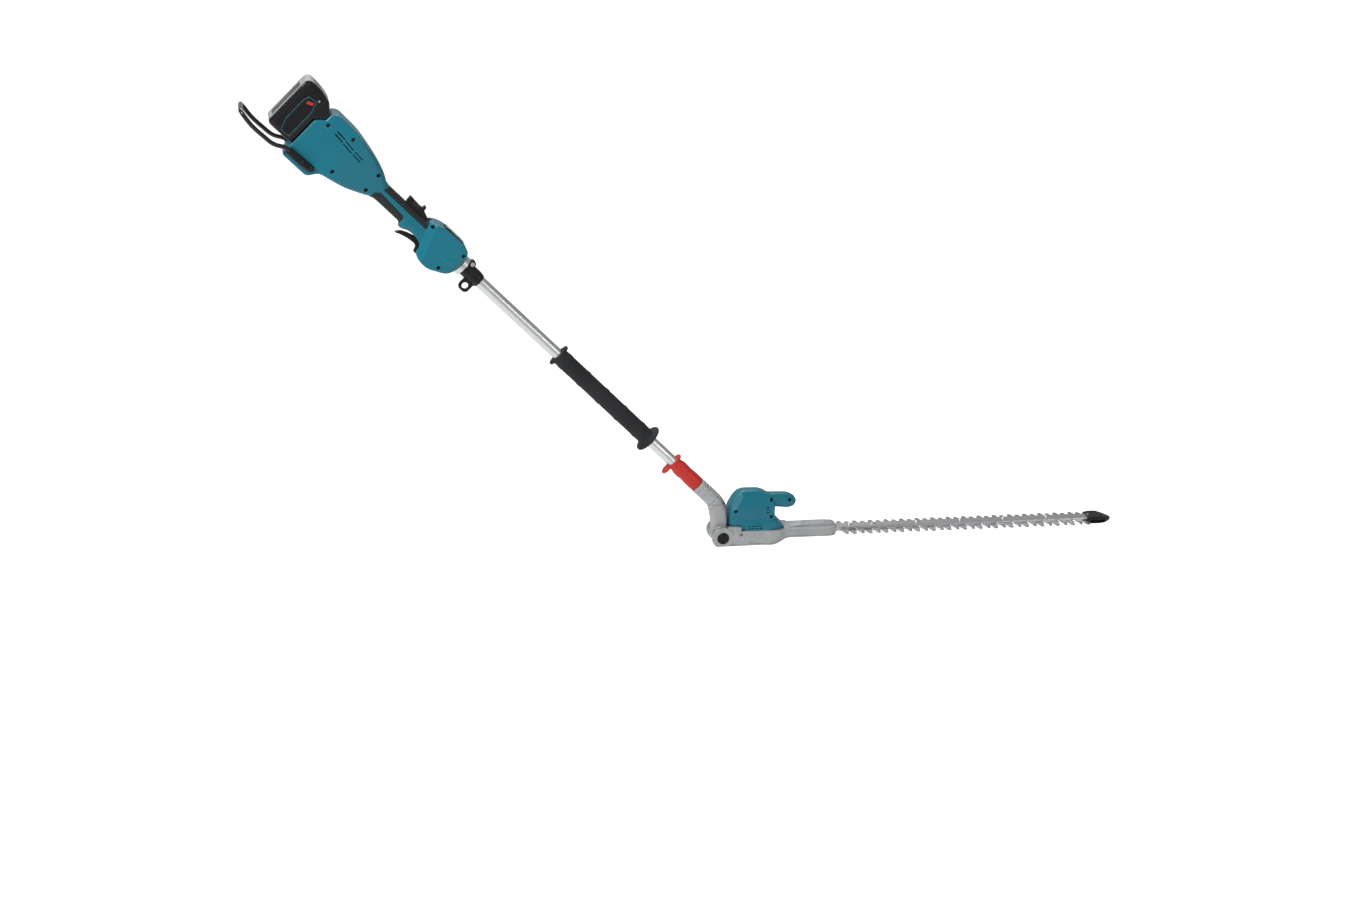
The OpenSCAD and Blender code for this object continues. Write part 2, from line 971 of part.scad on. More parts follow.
module cover_half(side) {
    difference() {
        union() {
            difference() {
                cover_form(0);
                cover_form(shell_wall);
                block([43, -case_w / 2 + shell_wall, 30], [137, case_w / 2 - shell_wall, 41]);
            }
            intersection() {
                cover_form(1);
                for (s = cover_screw_list)
                    along_y(s[0], s[1], -s[2], s[2], 6.2);
            }
        }
        translate([-10, side > 0 ? -100 : 0, 0])
            cube([300, 100, 200]);
        for (s = cover_screw_list) {
            along_y(s[0], s[1], -s[2], s[2] - 7, 1.8);
            along_y(s[0], s[1], -60, -s[2] + 8, 4.2);
        }
        for (k = [0:4], row = [0, 1])
            block([48 + 9 * k, side * 50 - 25, 42 + 6 * row], [54 + 9 * k, side * 50 + 25, 44 + 6 * row]);
        for (row = [0:2])
            block([97, side * 50 - 25, 76 + 6 * row], [102, side * 50 + 25, 78.5 + 6 * row]);
    }
}

module left_cover() {
    color(teal)
        cover_half(-1);
}

module right_cover() {
    color(teal)
        cover_half(1);
}

module cover_screws() {
    color(black)
        for (s = cover_screw_list)
            difference() {
                union() {
                    along_y(s[0], s[1], -s[2] + 8, s[2] - 8, 1.75);
                    along_y(s[0], s[1], -s[2] + 5, -s[2] + 8, 3.8);
                }
                hex_along_y(s[0], s[1], -s[2] + 4, -s[2] + 7, 2);
            }
}

// ---------- motor ----------

stator_z0 = 58;
stator_z1 = 82;
stator_teeth = 6;

module stator_core() {
    color(steel)
        translate([motor_x, 0, 0]) {
            ring(0, 0, stator_z0, stator_z1, 20, 24);
            for (i = [0:stator_teeth - 1])
                rotate(360 * i / stator_teeth)
                    difference() {
                        block([14, -3, stator_z0], [21, 3, stator_z1]);
                        along_z(0, 0, 0, 100, 15);
                    }
        }
}

module stator_windings() {
    color(copper)
        translate([motor_x, 0, 0])
            difference() {
                ring(0, 0, stator_z0 - 3, stator_z1 + 3, 16.2, 19.8);
                for (i = [0:stator_teeth - 1])
                    rotate(360 * i / stator_teeth)
                        block([12, -3.1, stator_z0 - 5], [24, 3.1, stator_z1 + 5]);
            }
}

module motor_frame() {
    color(black)
        translate([motor_x, 0, 0])
            difference() {
                union() {
                    ring(0, 0, 43, 89, 24, 26);
                    along_z(0, 0, 87, 89, 25);
                    along_z(0, 0, 87, 95, 10.5);
                    for (a = [90, 180, 270])
                        rotate(a)
                            block([20, -4, 35], [25.5, 4, 45]);
                }
                along_z(0, 0, 30, 87, 20);
                along_z(0, 0, 80, 89.5, 6);
                along_z(0, 0, 89.5, 96, 8);
                along_z(0, 0, stator_z0, 86, 24);
                for (a = [0:60:300])
                    rotate(a + 30)
                        block([15, -7, 47], [30, 7, 54]);
            }
}

module motor_bearings() {
    color(steel) {
        ring(motor_x, 0, 36.5, 42, 2.5, 9.5);
        ring(motor_x, 0, 89.5, 94.5, 2.5, 8);
    }
}

module crank_bearings() {
    color(steel) {
        ring(crank_x, 0, 5, 11, 4, 9.5);
        ring(crank_x, 0, case_ceiling + 0.5, 37, 4, 9.5);
    }
}

shaft_r = 2.5;

module rotor_shaft() {
    color(steel)
        translate([motor_x, 0, 0]) {
            translate([0, 0, gear_z])
                linear_extrude(height = gear_h + 0.5)
                    polygon(gear_outline(pinion_teeth));
            along_z(0, 0, gear_z + gear_h, 96, shaft_r);
        }
}

module rotor_core() {
    color(cast_grey)
        ring(motor_x, 0, stator_z0 - 1, stator_z1 + 1, shaft_r, 12);
}

module rotor_magnets() {
    color([0.35, 0.36, 0.38])
        translate([motor_x, 0, 0])
            difference() {
                ring(0, 0, stator_z0, stator_z1, 12, 14.3);
                for (a = [0:90:270])
                    rotate(a + 45)
                        block([10, -1, stator_z0 - 2], [20, 1, stator_z1 + 2]);
            }
}

module cooling_fan() {
    color(black)
        translate([motor_x, 0, 0])
            difference() {
                union() {
                    along_z(0, 0, 43.5, 46, 19);
                    along_z(0, 0, 43.5, 53, 6);
                    for (i = [0:8])
                        rotate(40 * i)
                            translate([5, 0, 45])
                                rotate(25)
                                    cube([13, 1.4, 7]);
                }
                along_z(0, 0, 40, 60, shaft_r);
            }
}

// ---------- crank and blades ----------

module crank_gear() {
    color(steel)
        translate([crank_x, 0, gear_z])
            difference() {
                linear_extrude(height = gear_h)
                    polygon(gear_outline(gear_teeth));
                along_z(0, 0, -1, gear_h + 1, 5);
                for (a = [0:60:300])
                    rotate(a)
                        along_z(14.5, 0, -1, gear_h + 1, 4.5);
            }
}

cam_split = upper_blade_z - blade_gap / 2;

module crank_shaft() {
    color(steel)
        translate([crank_x, 0, 0]) {
            along_z(0, 0, 5.5, blade_bottom, 4);
            along_z(crank_throw, 0, blade_bottom - 0.2, cam_split, cam_r);
            along_z(-crank_throw, 0, cam_split, bar_z + 0.1, cam_r);
            along_z(0, 0, bar_z, gear_z + gear_h, 5);
            along_z(0, 0, gear_z + gear_h, 36.5, 4);
        }
}

// Slot with round ends, along X
module slot(x0, x1, r, z0, z1) {
    along_z(x0, 0, z0, z1, r);
    along_z(x1, 0, z0, z1, r);
    block([x0, -r, z0], [x1, r, z1]);
}

tooth_root_half = 11;
tooth_tip_half = 3.5;

function tooth_edge(x0, count, side) = [
    for (i = [0:count - 1]) for (q = [
            [-tooth_root_half, blade_strip_w / 2], [-tooth_tip_half - 1, tooth_span / 2 - 2],
            [-tooth_tip_half, tooth_span / 2], [tooth_tip_half, tooth_span / 2],
            [tooth_root_half, blade_strip_w / 2]])
        [x0 + tooth_pitch * i + q[0], side * q[1]]
];

function reversed(list) = [for (i = [len(list) - 1:-1:0]) list[i]];

// x0: first tooth, yoke_x: centre of the yoke, travel: signed stroke from rest
module blade(z, x0, count, yoke_x, travel) {
    slot_play = 0.4;
    strip = blade_strip_w / 2;
    end = x0 + tooth_pitch * (count - 1) + 14;
    yoke_r = cam_r + yoke_slack;
    slot_y = crank_throw + cam_r + 0.3 - yoke_r;
    difference() {
        union() {
            plan_prism(
                concat(
                    [[yoke_x, -strip]], tooth_edge(x0, count, -1), [[end, -strip], [end, strip]],
                    reversed(tooth_edge(x0, count, 1)), [[yoke_x, strip]]
                ),
                z, z + blade_t
            );
            for (side = [-1, 1])
                along_z(yoke_x, side * slot_y, z, z + blade_t, yoke_r + 4.5);
            block([yoke_x - yoke_r - 4.5, -slot_y, z], [yoke_x + yoke_r + 4.5, slot_y, z + blade_t]);
        }
        for (side = [-1, 1])
            along_z(yoke_x, side * slot_y, z - 1, z + blade_t + 1, yoke_r);
        block([yoke_x - yoke_r, -slot_y, z - 1], [yoke_x + yoke_r, slot_y, z + blade_t + 1]);
        for (x = concat(bolt_xs, anchor_xs))
            slot(min(x, x - travel), max(x, x - travel), bolt_r + slot_play, z - 1, z + blade_t + 1);
    }
}

module upper_blade() {
    color(steel)
        blade(upper_blade_z, first_tooth, tooth_count - 1, crank_x - crank_throw, 2 * crank_throw);
}

module lower_blade() {
    color(steel)
        blade(
            blade_bottom, first_tooth + tooth_pitch / 2, tooth_count - 1,
            crank_x + crank_throw, -2 * crank_throw
        );
}

module guide_bar() {
    color(silver)
        difference() {
            block([160, -bar_w / 2 + 0.6, bar_z], [bar_front, bar_w / 2 - 0.6, bar_z + bar_t]);
            for (x = concat(bolt_xs, anchor_xs))
                along_z(x, 0, bar_z - 1, bar_z + bar_t + 1, bolt_r);
        }
}

bolt_seat = bar_z + bar_t;

module bar_bolts() {
    color(steel)
        for (x = bolt_xs)
            difference() {
                union() {
                    along_z(x, 0, 14.5, bolt_seat + 0.5, bolt_r);
                    intersection() {
                        translate([x, 0, bolt_seat - 4.5])
                            sphere(8);
                        along_z(x, 0, x > 870 ? bolt_seat + 3 : bolt_seat, bolt_seat + 10, 6);
                    }
                    along_z(x, 0, bolt_seat, bolt_seat + 3.2, bolt_r);
                }
                translate([x, 0, bolt_seat + 2])
                    cylinder(h = 3, r = 1.8, $fn = 6);
            }
}

module bar_nuts() {
    color(steel)
        for (x = bolt_xs)
            difference() {
                translate([x, 0, x > 870 ? 11.6 : 15])
                    cylinder(h = x > 870 ? 3 : 3.5, r = 5.2, $fn = 6);
                along_z(x, 0, 10, 20, bolt_r);
            }
}

module bar_anchor_screws() {
    color(steel)
        for (x = anchor_xs) {
            along_z(x, 0, 18, 34.5, bolt_r);
            along_z(x, 0, 17.1, 18.6, 5.5);
        }
}

guard_plan = [[872, 21], [900, 22], [920, 17], [932, 8], [934, 4]];

module tip_guard() {
    color(black)
        difference() {
            plan_prism(mirrored(guard_plan), 14.6, bolt_seat + 3);
            block([860, -40, blade_bottom - gap], [915, 40, bar_z]);
            block([860, -bar_w / 2, bar_z - 1], [907, bar_w / 2, bolt_seat]);
            along_z(878, 0, 10, 50, bolt_r);
            for (side = [-1, 1])
                along_z(905, side * 13, 10, 50, 3);
        }
}

pole_tube();
left_housing();
right_housing();
housing_screws();
left_grip_rubber();
right_grip_rubber();
guard_loop();
guard_brackets();
bracket_screws();
control_panel();
power_button();
speed_button();
battery_terminal();
controller();
trigger_switch();
power_cable();
front_collar();
hanger_clamp();
hanger_screw();
front_grip();
left_arm_half();
right_arm_half();
arm_bolts();
lock_sleeve();
lock_slider();
lock_spring();
trigger();
lock_off_lever();
lever_pins();
battery_case();
battery_cells();
battery_latch();
gear_case();
case_base();
case_bolts();
left_cover();
right_cover();
cover_screws();
hinge_bolt();
hinge_caps();
index_disc();
motor_frame();
stator_core();
stator_windings();
motor_bearings();
crank_bearings();
rotor_shaft();
rotor_core();
rotor_magnets();
cooling_fan();
crank_gear();
crank_shaft();
upper_blade();
lower_blade();
guide_bar();
bar_bolts();
bar_nuts();
bar_anchor_screws();
tip_guard();
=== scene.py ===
"""Looks of the battery pole hedge trimmer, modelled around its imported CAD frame.

Moulded and cast pieces are built as distance fields in millimetres and meshed here.
Sheet pieces, such as the blades, are built from their outlines.
"""
import json
import math
from functools import reduce

import bpy
import numpy as np
from mathutils import Matrix, Vector
from mathutils.geometry import delaunay_2d_cdt


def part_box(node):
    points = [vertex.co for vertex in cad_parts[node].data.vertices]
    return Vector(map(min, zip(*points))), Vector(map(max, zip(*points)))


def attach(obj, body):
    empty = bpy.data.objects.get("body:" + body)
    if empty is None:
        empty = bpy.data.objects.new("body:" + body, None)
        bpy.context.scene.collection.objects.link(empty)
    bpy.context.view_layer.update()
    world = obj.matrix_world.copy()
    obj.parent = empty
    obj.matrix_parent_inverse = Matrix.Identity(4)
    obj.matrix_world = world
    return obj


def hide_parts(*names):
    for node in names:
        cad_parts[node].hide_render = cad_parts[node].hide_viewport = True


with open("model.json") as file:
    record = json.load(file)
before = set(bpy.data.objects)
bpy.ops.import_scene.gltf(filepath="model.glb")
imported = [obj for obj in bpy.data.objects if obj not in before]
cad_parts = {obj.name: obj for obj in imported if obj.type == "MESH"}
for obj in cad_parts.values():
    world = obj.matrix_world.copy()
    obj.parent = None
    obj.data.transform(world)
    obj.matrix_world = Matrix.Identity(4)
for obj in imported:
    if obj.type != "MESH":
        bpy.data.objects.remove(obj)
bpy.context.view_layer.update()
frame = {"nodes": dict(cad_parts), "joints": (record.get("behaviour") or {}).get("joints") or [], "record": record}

MM = 0.001


# ---------- places ----------

class Place:
    """An origin and three axes in the row frame, in millimetres."""

    def __init__(self, origin, x, y, z):
        self.origin = np.array(origin, float)
        self.axes = np.array([x, y, z], float)

    def to_row(self, points):
        return (self.origin + np.asarray(points, float) @ self.axes) * MM

    def from_row(self, points):
        return (np.asarray(points, float) / MM - self.origin) @ self.axes.T

    def span(self, node):
        """Lowest and highest corner of a CAD node along this place's axes."""
        local = self.from_row([v.co[:] for v in frame["nodes"][node].data.vertices])
        return local.min(0), local.max(0)


JOINT = {j["name"]: j for j in frame["joints"]}
HINGE = np.array(JOINT["head_tilt"]["pos_m"]) / MM
ALONG = -np.array(JOINT["lock_pull"]["axis"])
SQUARE = np.array(JOINT["battery_slide"]["axis"])
TUBE_CENTRE = sum(np.array(corner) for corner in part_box("pole_tube")) / 2 / MM
POLE_OFFSET = (TUBE_CENTRE - HINGE) @ SQUARE

# Row frame, and the pole's frame: X along the tube to the head, Z square to it, origin over the hinge
ROW = Place((0, 0, 0), (1, 0, 0), (0, 1, 0), (0, 0, 1))
POLE = Place(HINGE + SQUARE * POLE_OFFSET, ALONG, (0, 1, 0), SQUARE)

HINGE_Z = HINGE[2]
REAR_HALF = -POLE.span("left_housing")[0][1]
TUBE_R = POLE.span("pole_tube")[1][2]
CRANK_X = JOINT["crank_turn"]["pos_m"][0] / MM
MOTOR_X = JOINT["rotor_turn"]["pos_m"][0] / MM


# ---------- outlines ----------

def bend(start, corner, end, steps):
    """Points of a short curve from start to end, drawn towards a corner."""
    return [(1 - t) ** 2 * start + 2 * t * (1 - t) * corner + t ** 2 * end for t in np.linspace(0, 1, steps)]


def eased(points, cut=0.0, steps=5):
    """Closed outline with its corners turned into short curves. A third number is that corner's own cut."""
    spots = [np.array(p[:2], float) for p in points]
    cuts = [p[2] if len(p) > 2 else cut for p in points]
    out = []
    for i, spot in enumerate(spots):
        before = spots[i - 1] - spot
        after = spots[(i + 1) % len(spots)] - spot
        reach = min(cuts[i], 0.48 * np.linalg.norm(before), 0.48 * np.linalg.norm(after))
        if reach < 0.05:
            out.append(spot)
            continue
        start = spot + before / np.linalg.norm(before) * reach
        end = spot + after / np.linalg.norm(after) * reach
        out += bend(start, spot, end, steps)
    return np.array(out)


def mirrored(half):
    """Closed outline from one half of a plan, given on its positive side."""
    return [(p[0], -p[1], *p[2:]) for p in half] + [tuple(p) for p in reversed(half)]


# ---------- distance fields, negative inside ----------

SCREW_R = 1.9


class Grid:
    """Sample points of a box: three arrays that broadcast against each other.

    For the left or right half of a piece, half is -1 or 1 and outer grows away from the seam.
    """

    def __init__(self, low, high, step, half):
        self.axes = [np.arange(a, b + step, step) for a, b in zip(low, high)]
        self.x, self.y, self.z = np.ix_(*self.axes)
        self.half = half
        self.outer = half * self.y

    def side(self, points):
        """An outline seen from the side."""
        return outline(points, self.x, self.z)

    def plan(self, points):
        """An outline seen from above."""
        return outline(points, self.x, self.y)

    def rod(self, centre, r):
        """A rod along Y through a point of the side view."""
        return disc(self.x, self.z, centre, r)

    def slot(self, a, b, r):
        """A round-ended bar of the side view, along Y."""
        return bar(self.x, self.z, a, b, r)

    def post(self, x, off, r):
        """An upright rod on each side, off from the middle plane."""
        return np.hypot(self.x - x, np.abs(self.y) - off) - r

    def bore(self, clear):
        """Room for the pole tube."""
        return np.hypot(self.y, self.z) - TUBE_R - clear

    def box(self, x=None, y=None, z=None):
        """A box from the ranges given, endless along the other axes."""
        spans = ((self.x, x), (self.y, y), (self.z, z))
        return reduce(np.maximum, [between(u, *span) for u, span in spans if span])


def outline(points, u, v):
    """Distance to a closed outline in the plane of u and v."""
    u, v = np.broadcast_arrays(u, v)
    nearest = np.full(u.shape, 1e9)
    inside = np.zeros(u.shape, bool)
    for a, b in zip(points, np.roll(points, -1, axis=0)):
        edge = b - a
        du, dv = u - a[0], v - a[1]
        t = np.clip((du * edge[0] + dv * edge[1]) / max(edge @ edge, 1e-9), 0, 1)
        nearest = np.minimum(nearest, (du - t * edge[0]) ** 2 + (dv - t * edge[1]) ** 2)
        crosses = (a[1] > v) != (b[1] > v)
        rise = edge[1] if abs(edge[1]) > 1e-9 else 1e-9
        inside ^= crosses & (du < dv * edge[0] / rise)
    return np.where(inside, -1.0, 1.0) * np.sqrt(nearest)


def outline_in(points, u, v):
    """outline for a u that also varies with a third axis: read off a table made once."""
    su = np.arange(points[:, 0].min() - 40, points[:, 0].max() + 40, 1.0)
    sv = np.arange(-2, np.abs(points[:, 1]).max() + 12, 1.0)
    table = outline(points, su[:, None], sv[None, :])
    u, v = np.broadcast_arrays(u, v)
    i = np.clip((u - su[0]), 0, len(su) - 1.001)
    j = np.clip((v - sv[0]), 0, len(sv) - 1.001)
    a, b = i.astype(int), j.astype(int)
    i, j = i - a, j - b
    return ((table[a, b] * (1 - i) + table[a + 1, b] * i) * (1 - j)
            + (table[a, b + 1] * (1 - i) + table[a + 1, b + 1] * i) * j)


def disc(u, v, centre, r):
    return np.sqrt((u - centre[0]) ** 2 + (v - centre[1]) ** 2) - r


def bar(u, v, a, b, r):
    """Distance to a round-ended bar from a to b."""
    du, dv = u - a[0], v - a[1]
    eu, ev = b[0] - a[0], b[1] - a[1]
    t = np.clip((du * eu + dv * ev) / (eu * eu + ev * ev), 0, 1)
    return np.sqrt((du - t * eu) ** 2 + (dv - t * ev) ** 2) - r


def between(u, low, high):
    return np.maximum(low - u, u - high)


def both(a, b, r=0.0):
    """Where a and b overlap, with the edge between them rounded to r."""
    if np.isscalar(r) and r == 0:
        return np.maximum(a, b)
    return np.minimum(np.maximum(a, b), -r) + np.hypot(np.maximum(a + r, 0), np.maximum(b + r, 0))


def either(a, b, r=0.0):
    """a and b together, with the corner between them filled to radius r."""
    return -both(-a, -b, r)


def less(a, b, r=0.0):
    """a with b cut away."""
    return both(a, -b, r)


def groove(shape, line, width, depth):
    """shape with a shallow groove along line == 0."""
    return np.maximum(shape, -np.maximum(np.abs(line) - width / 2, -shape - depth))


def raised(shape, zone, height, ease):
    """shape swollen by height inside the zone, easing off over a short slope."""
    t = np.clip(0.5 - zone / ease, 0, 1)
    return shape - height * t * t * (3 - 2 * t)


def half_of(shape, g, seam=0.12, edge=0.5):
    """The grid's half of a shape, with its seam edge eased."""
    return both(shape, seam - g.outer, edge)


def screw_hole(shell, g, spot, width, head_r, depth):
    """shell with the hole of a screw that joins two halves, and on the left the recess of its head."""
    if g.half < 0:
        shell = less(shell, both(g.rod(spot, head_r), width - depth - g.outer), 0.4)
    return less(shell, both(g.rod(spot, SCREW_R), g.outer - width + (depth - 1)))


# ---------- meshes ----------

def surface_net(grid, field):
    """Closed quad mesh of the surface where the field is zero, one point per crossed cell."""
    field = np.ascontiguousarray(field, float)
    inside = field < 0
    cells = tuple(n - 1 for n in field.shape)
    total = np.zeros((3, math.prod(cells)))
    hits = np.zeros(math.prod(cells))
    rings = []
    for axis in range(3):
        low = [slice(None)] * 3
        high = [slice(None)] * 3
        low[axis], high[axis] = slice(0, -1), slice(1, None)
        idx = np.argwhere(inside[tuple(low)] != inside[tuple(high)])
        top = idx.copy()
        top[:, axis] += 1
        fa, fb = field[tuple(idx.T)], field[tuple(top.T)]
        t = fa / (fa - fb)
        spots = np.stack([grid.axes[k][idx[:, k]] for k in range(3)])
        spots[axis] += t * (grid.axes[axis][top[:, axis]] - grid.axes[axis][idx[:, axis]])
        u, v = (axis + 1) % 3, (axis + 2) % 3
        corners = []
        for du, dv in ((0, 0), (-1, 0), (-1, -1), (0, -1)):
            cell = idx.copy()
            cell[:, u] += du
            cell[:, v] += dv
            flat = np.ravel_multi_index(tuple(cell.T), cells)
            corners.append(flat)
            hits += np.bincount(flat, minlength=hits.size)
            for k in range(3):
                total[k] += np.bincount(flat, weights=spots[k], minlength=hits.size)
        ring = np.stack(corners, axis=1)
        ring[fa > 0] = ring[fa > 0][:, ::-1]
        rings.append(ring)
    used = np.flatnonzero(hits)
    points = (total[:, used] / hits[used]).T
    number = np.zeros(hits.size, np.int64)
    number[used] = np.arange(used.size)
    points = pulled(grid, field, points)
    return points, number[np.concatenate(rings)]


def sampled(grid, field, points):
    """The field's value at each point, between its samples."""
    step = [axis[1] - axis[0] for axis in grid.axes]
    where = [(points[:, k] - grid.axes[k][0]) / step[k] for k in range(3)]
    base = [np.clip(w.astype(int), 0, n - 2) for w, n in zip(where, field.shape)]
    part = [w - b for w, b in zip(where, base)]
    value = np.zeros(len(points))
    for i in (0, 1):
        for j in (0, 1):
            for k in (0, 1):
                share = 1.0
                for bit, f in zip((i, j, k), part):
                    share = share * (f if bit else 1 - f)
                value += share * field[base[0] + i, base[1] + j, base[2] + k]
    return value


def pulled(grid, field, points, rounds=3):
    """Points moved onto the surface along the field's slope."""
    eps = 0.35 * (grid.axes[0][1] - grid.axes[0][0])
    for _ in range(rounds):
        value = sampled(grid, field, points)
        slope = np.stack([
            sampled(grid, field, points + eps * side) - sampled(grid, field, points - eps * side)
            for side in np.eye(3)
        ], axis=1) / (2 * eps)
        size = np.maximum((slope ** 2).sum(1), 0.2)
        move = -value[:, None] * slope / size[:, None]
        points = points + np.clip(move, -eps, eps)
    return points


def mesh_object(name, points, faces, smooth=True):
    mesh = bpy.data.meshes.new(name)
    mesh.from_pydata([tuple(p) for p in points], [], [tuple(int(i) for i in f) for f in faces])
    mesh.polygons.foreach_set("use_smooth", [smooth] * len(mesh.polygons))
    mesh.update()
    obj = bpy.data.objects.new(name, mesh)
    bpy.context.scene.collection.objects.link(obj)
    return obj


def settle(obj, body, slot, *stands_for):
    """Gives a finished piece its material, its body and the CAD nodes it stands for."""
    obj.data.materials.clear()
    obj.data.materials.append(MATERIALS[slot])
    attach(obj, body)
    if stands_for:
        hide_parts(*stands_for)
    return obj


def stepped(spot, other, cut):
    """The point at a cut's distance from spot towards other, short of half way."""
    gap = np.linalg.norm(other - spot)
    return spot + (other - spot) / gap * min(cut, 0.48 * gap)


def swept(name, place, path, cuts, r, body, slot, node_name, sides=20):
    """Round bar along a bent path, with a cut for the bend at each point."""
    spots = [np.array(p, float) for p in path]
    line = [spots[0]]
    for before, spot, after, cut in zip(spots, spots[1:], spots[2:], cuts[1:]):
        line += bend(stepped(spot, before, cut), spot, stepped(spot, after, cut), 9)
    line.append(spots[-1])
    line = np.array(line)
    along = np.gradient(line, axis=0)
    along /= np.linalg.norm(along, axis=1)[:, None]
    side = np.cross(along[0], (0, 1, 0))
    points, faces = [], []
    bevel = 1.2
    last = len(line) - 1
    rings = [(0, r - bevel, -bevel)] + [(i, r, 0) for i in range(last + 1)] + [(last, r - bevel, bevel)]
    for i, radius, shift in rings:
        side = side - along[i] * (side @ along[i])
        side /= np.linalg.norm(side)
        up = np.cross(along[i], side)
        for a in np.linspace(0, 2 * math.pi, sides, endpoint=False):
            points.append(line[i] + along[i] * shift + radius * (math.cos(a) * side + math.sin(a) * up))
    for n in range(len(rings) - 1):
        for k in range(sides):
            a, b = n * sides + k, n * sides + (k + 1) % sides
            faces.append((a, b, b + sides, a + sides))
    faces.append(tuple(range(sides))[::-1])
    faces.append(tuple((len(rings) - 1) * sides + k for k in range(sides)))
    obj = mesh_object(name, place.to_row(points), faces)
    settle(obj, body, slot, node_name)


def filled(rings):
    """Triangles of a flat face inside its first ring and outside the others, wound upwards."""
    flat = [Vector(p) for ring in rings for p in ring]
    edges, start = [], 0
    for ring in rings:
        edges += [(start + k, start + (k + 1) % len(ring)) for k in range(len(ring))]
        start += len(ring)
    found = delaunay_2d_cdt(flat, edges, [], 0, 1e-7)
    tris = np.array([[found[3][i][0] for i in tri] for tri in found[2]])
    corner = np.array([tuple(p) for p in flat])[tris]
    mid = corner.mean(axis=1)
    a, b = corner[:, 1] - corner[:, 0], corner[:, 2] - corner[:, 0]
    turn = a[:, 0] * b[:, 1] - a[:, 1] * b[:, 0]
    keep = (outline(np.array(rings[0], float), mid[:, 0], mid[:, 1]) < 0) & (np.abs(turn) > 1e-9)
    for ring in rings[1:]:
        keep &= outline(np.array(ring, float), mid[:, 0], mid[:, 1]) > 0
    tris[turn < 0] = tris[turn < 0][:, ::-1]
    return tris[keep].tolist()


def plate(name, levels, holes, body, slot, node_name):
    """Flat plate with holes, from outlines with the same number of points at rising heights."""
    loops = [[(x, y, z) for x, y in loop] for z, loop in levels]
    rims = [[(x, y, z) for z in (levels[0][0], levels[-1][0]) for x, y in hole] for hole in holes]
    points = [p for loop in loops for p in loop]
    count = len(loops[0])
    faces = []
    for n in range(len(loops) - 1):
        for k in range(count):
            a, b = n * count + k, n * count + (k + 1) % count
            faces.append((a, b, b + count, a + count))
    starts = []
    for hole, rim in zip(holes, rims):
        start, size = len(points), len(hole)
        points += rim
        starts.append((start, size))
        for k in range(size):
            a, b = start + k, start + (k + 1) % size
            faces.append((b, a, a + size, b + size))
    for top in (False, True):
        base = (len(loops) - 1) * count if top else 0
        names = [base + k for k in range(count)]
        for start, size in starts:
            names += [start + k + (size if top else 0) for k in range(size)]
        rings = [[p[:2] for p in loops[-1 if top else 0]]] + holes
        for tri in filled(rings):
            face = [names[i] for i in tri]
            faces.append(face if top else face[::-1])
    obj = mesh_object(name, ROW.to_row(points), faces, smooth=False)
    settle(obj, body, slot, node_name)


def moulded(name, place, low, high, step, shape, body, slot, *stands_for, half=0):
    """A piece meshed from a distance field given as a function of the grid."""
    grid = Grid(low, high, step, half)
    field = np.broadcast_to(shape(grid), tuple(len(a) for a in grid.axes))
    points, quads = surface_net(grid, field)
    settle(mesh_object(name, place.to_row(points), quads), body, slot, *stands_for)


def halves(piece, stands_for, place, x, reach, z, step, shape, body, slot):
    """The left and right halves of a pair of pieces, from one function of the grid."""
    for word, half in (("left", -1), ("right", 1)):
        low, high = zip(x, (-reach, 2) if half < 0 else (-2, reach), z)
        names = f"{word}_{piece}", f"{word}_{stands_for}"
        moulded(names[0], place, low, high, step, shape, body, slot, names[1], half=half)


# ---------- materials ----------

# Pointiness over which edges take a lighter colour: partly wear, partly a painted highlight
EDGE_WEAR_AND_HIGHLIGHT = (0.52, 0.62)
WORN_AND_LIT_SHARE = 1.8
COAT_ROUGH = 0.12


def wired(tree, made, **settings):
    """A shader node with its settings, each a value or another node's output."""
    for key, value in settings.items():
        if isinstance(value, bpy.types.NodeSocket):
            tree.links.new(value, made.inputs[key])
        elif key in made.inputs:
            made.inputs[key].default_value = value
        else:
            setattr(made, key, value)
    return made


def node(tree, kind, **settings):
    return wired(tree, tree.nodes.new(kind), **settings)


def ramp(tree, value, low, high, dark, light):
    """A colour ramp between two colours, over a range of value."""
    made = node(tree, "ShaderNodeValToRGB", Fac=value)
    for element, place, colour in zip(made.color_ramp.elements, (low, high), (dark, light)):
        element.position = place
        element.color = (*colour, 1)
    return made.outputs["Color"]


def spread(tree, value, low, high, start=0.0, stop=1.0):
    """value carried from the range start to stop over to the range low to high."""
    ends = {"From Min": start, "From Max": stop, "To Min": low, "To Max": high}
    return node(tree, "ShaderNodeMapRange", Value=value, **ends).outputs["Result"]


def noise(tree, where, scale, detail=3.0, stretch=(1, 1, 1)):
    mapped = node(tree, "ShaderNodeMapping", Scale=stretch, Vector=where).outputs["Vector"]
    return node(tree, "ShaderNodeTexNoise", Scale=scale, Detail=detail, Vector=mapped).outputs["Fac"]


def scaled(colour, share):
    return tuple(min(1.0, c * share) for c in colour)


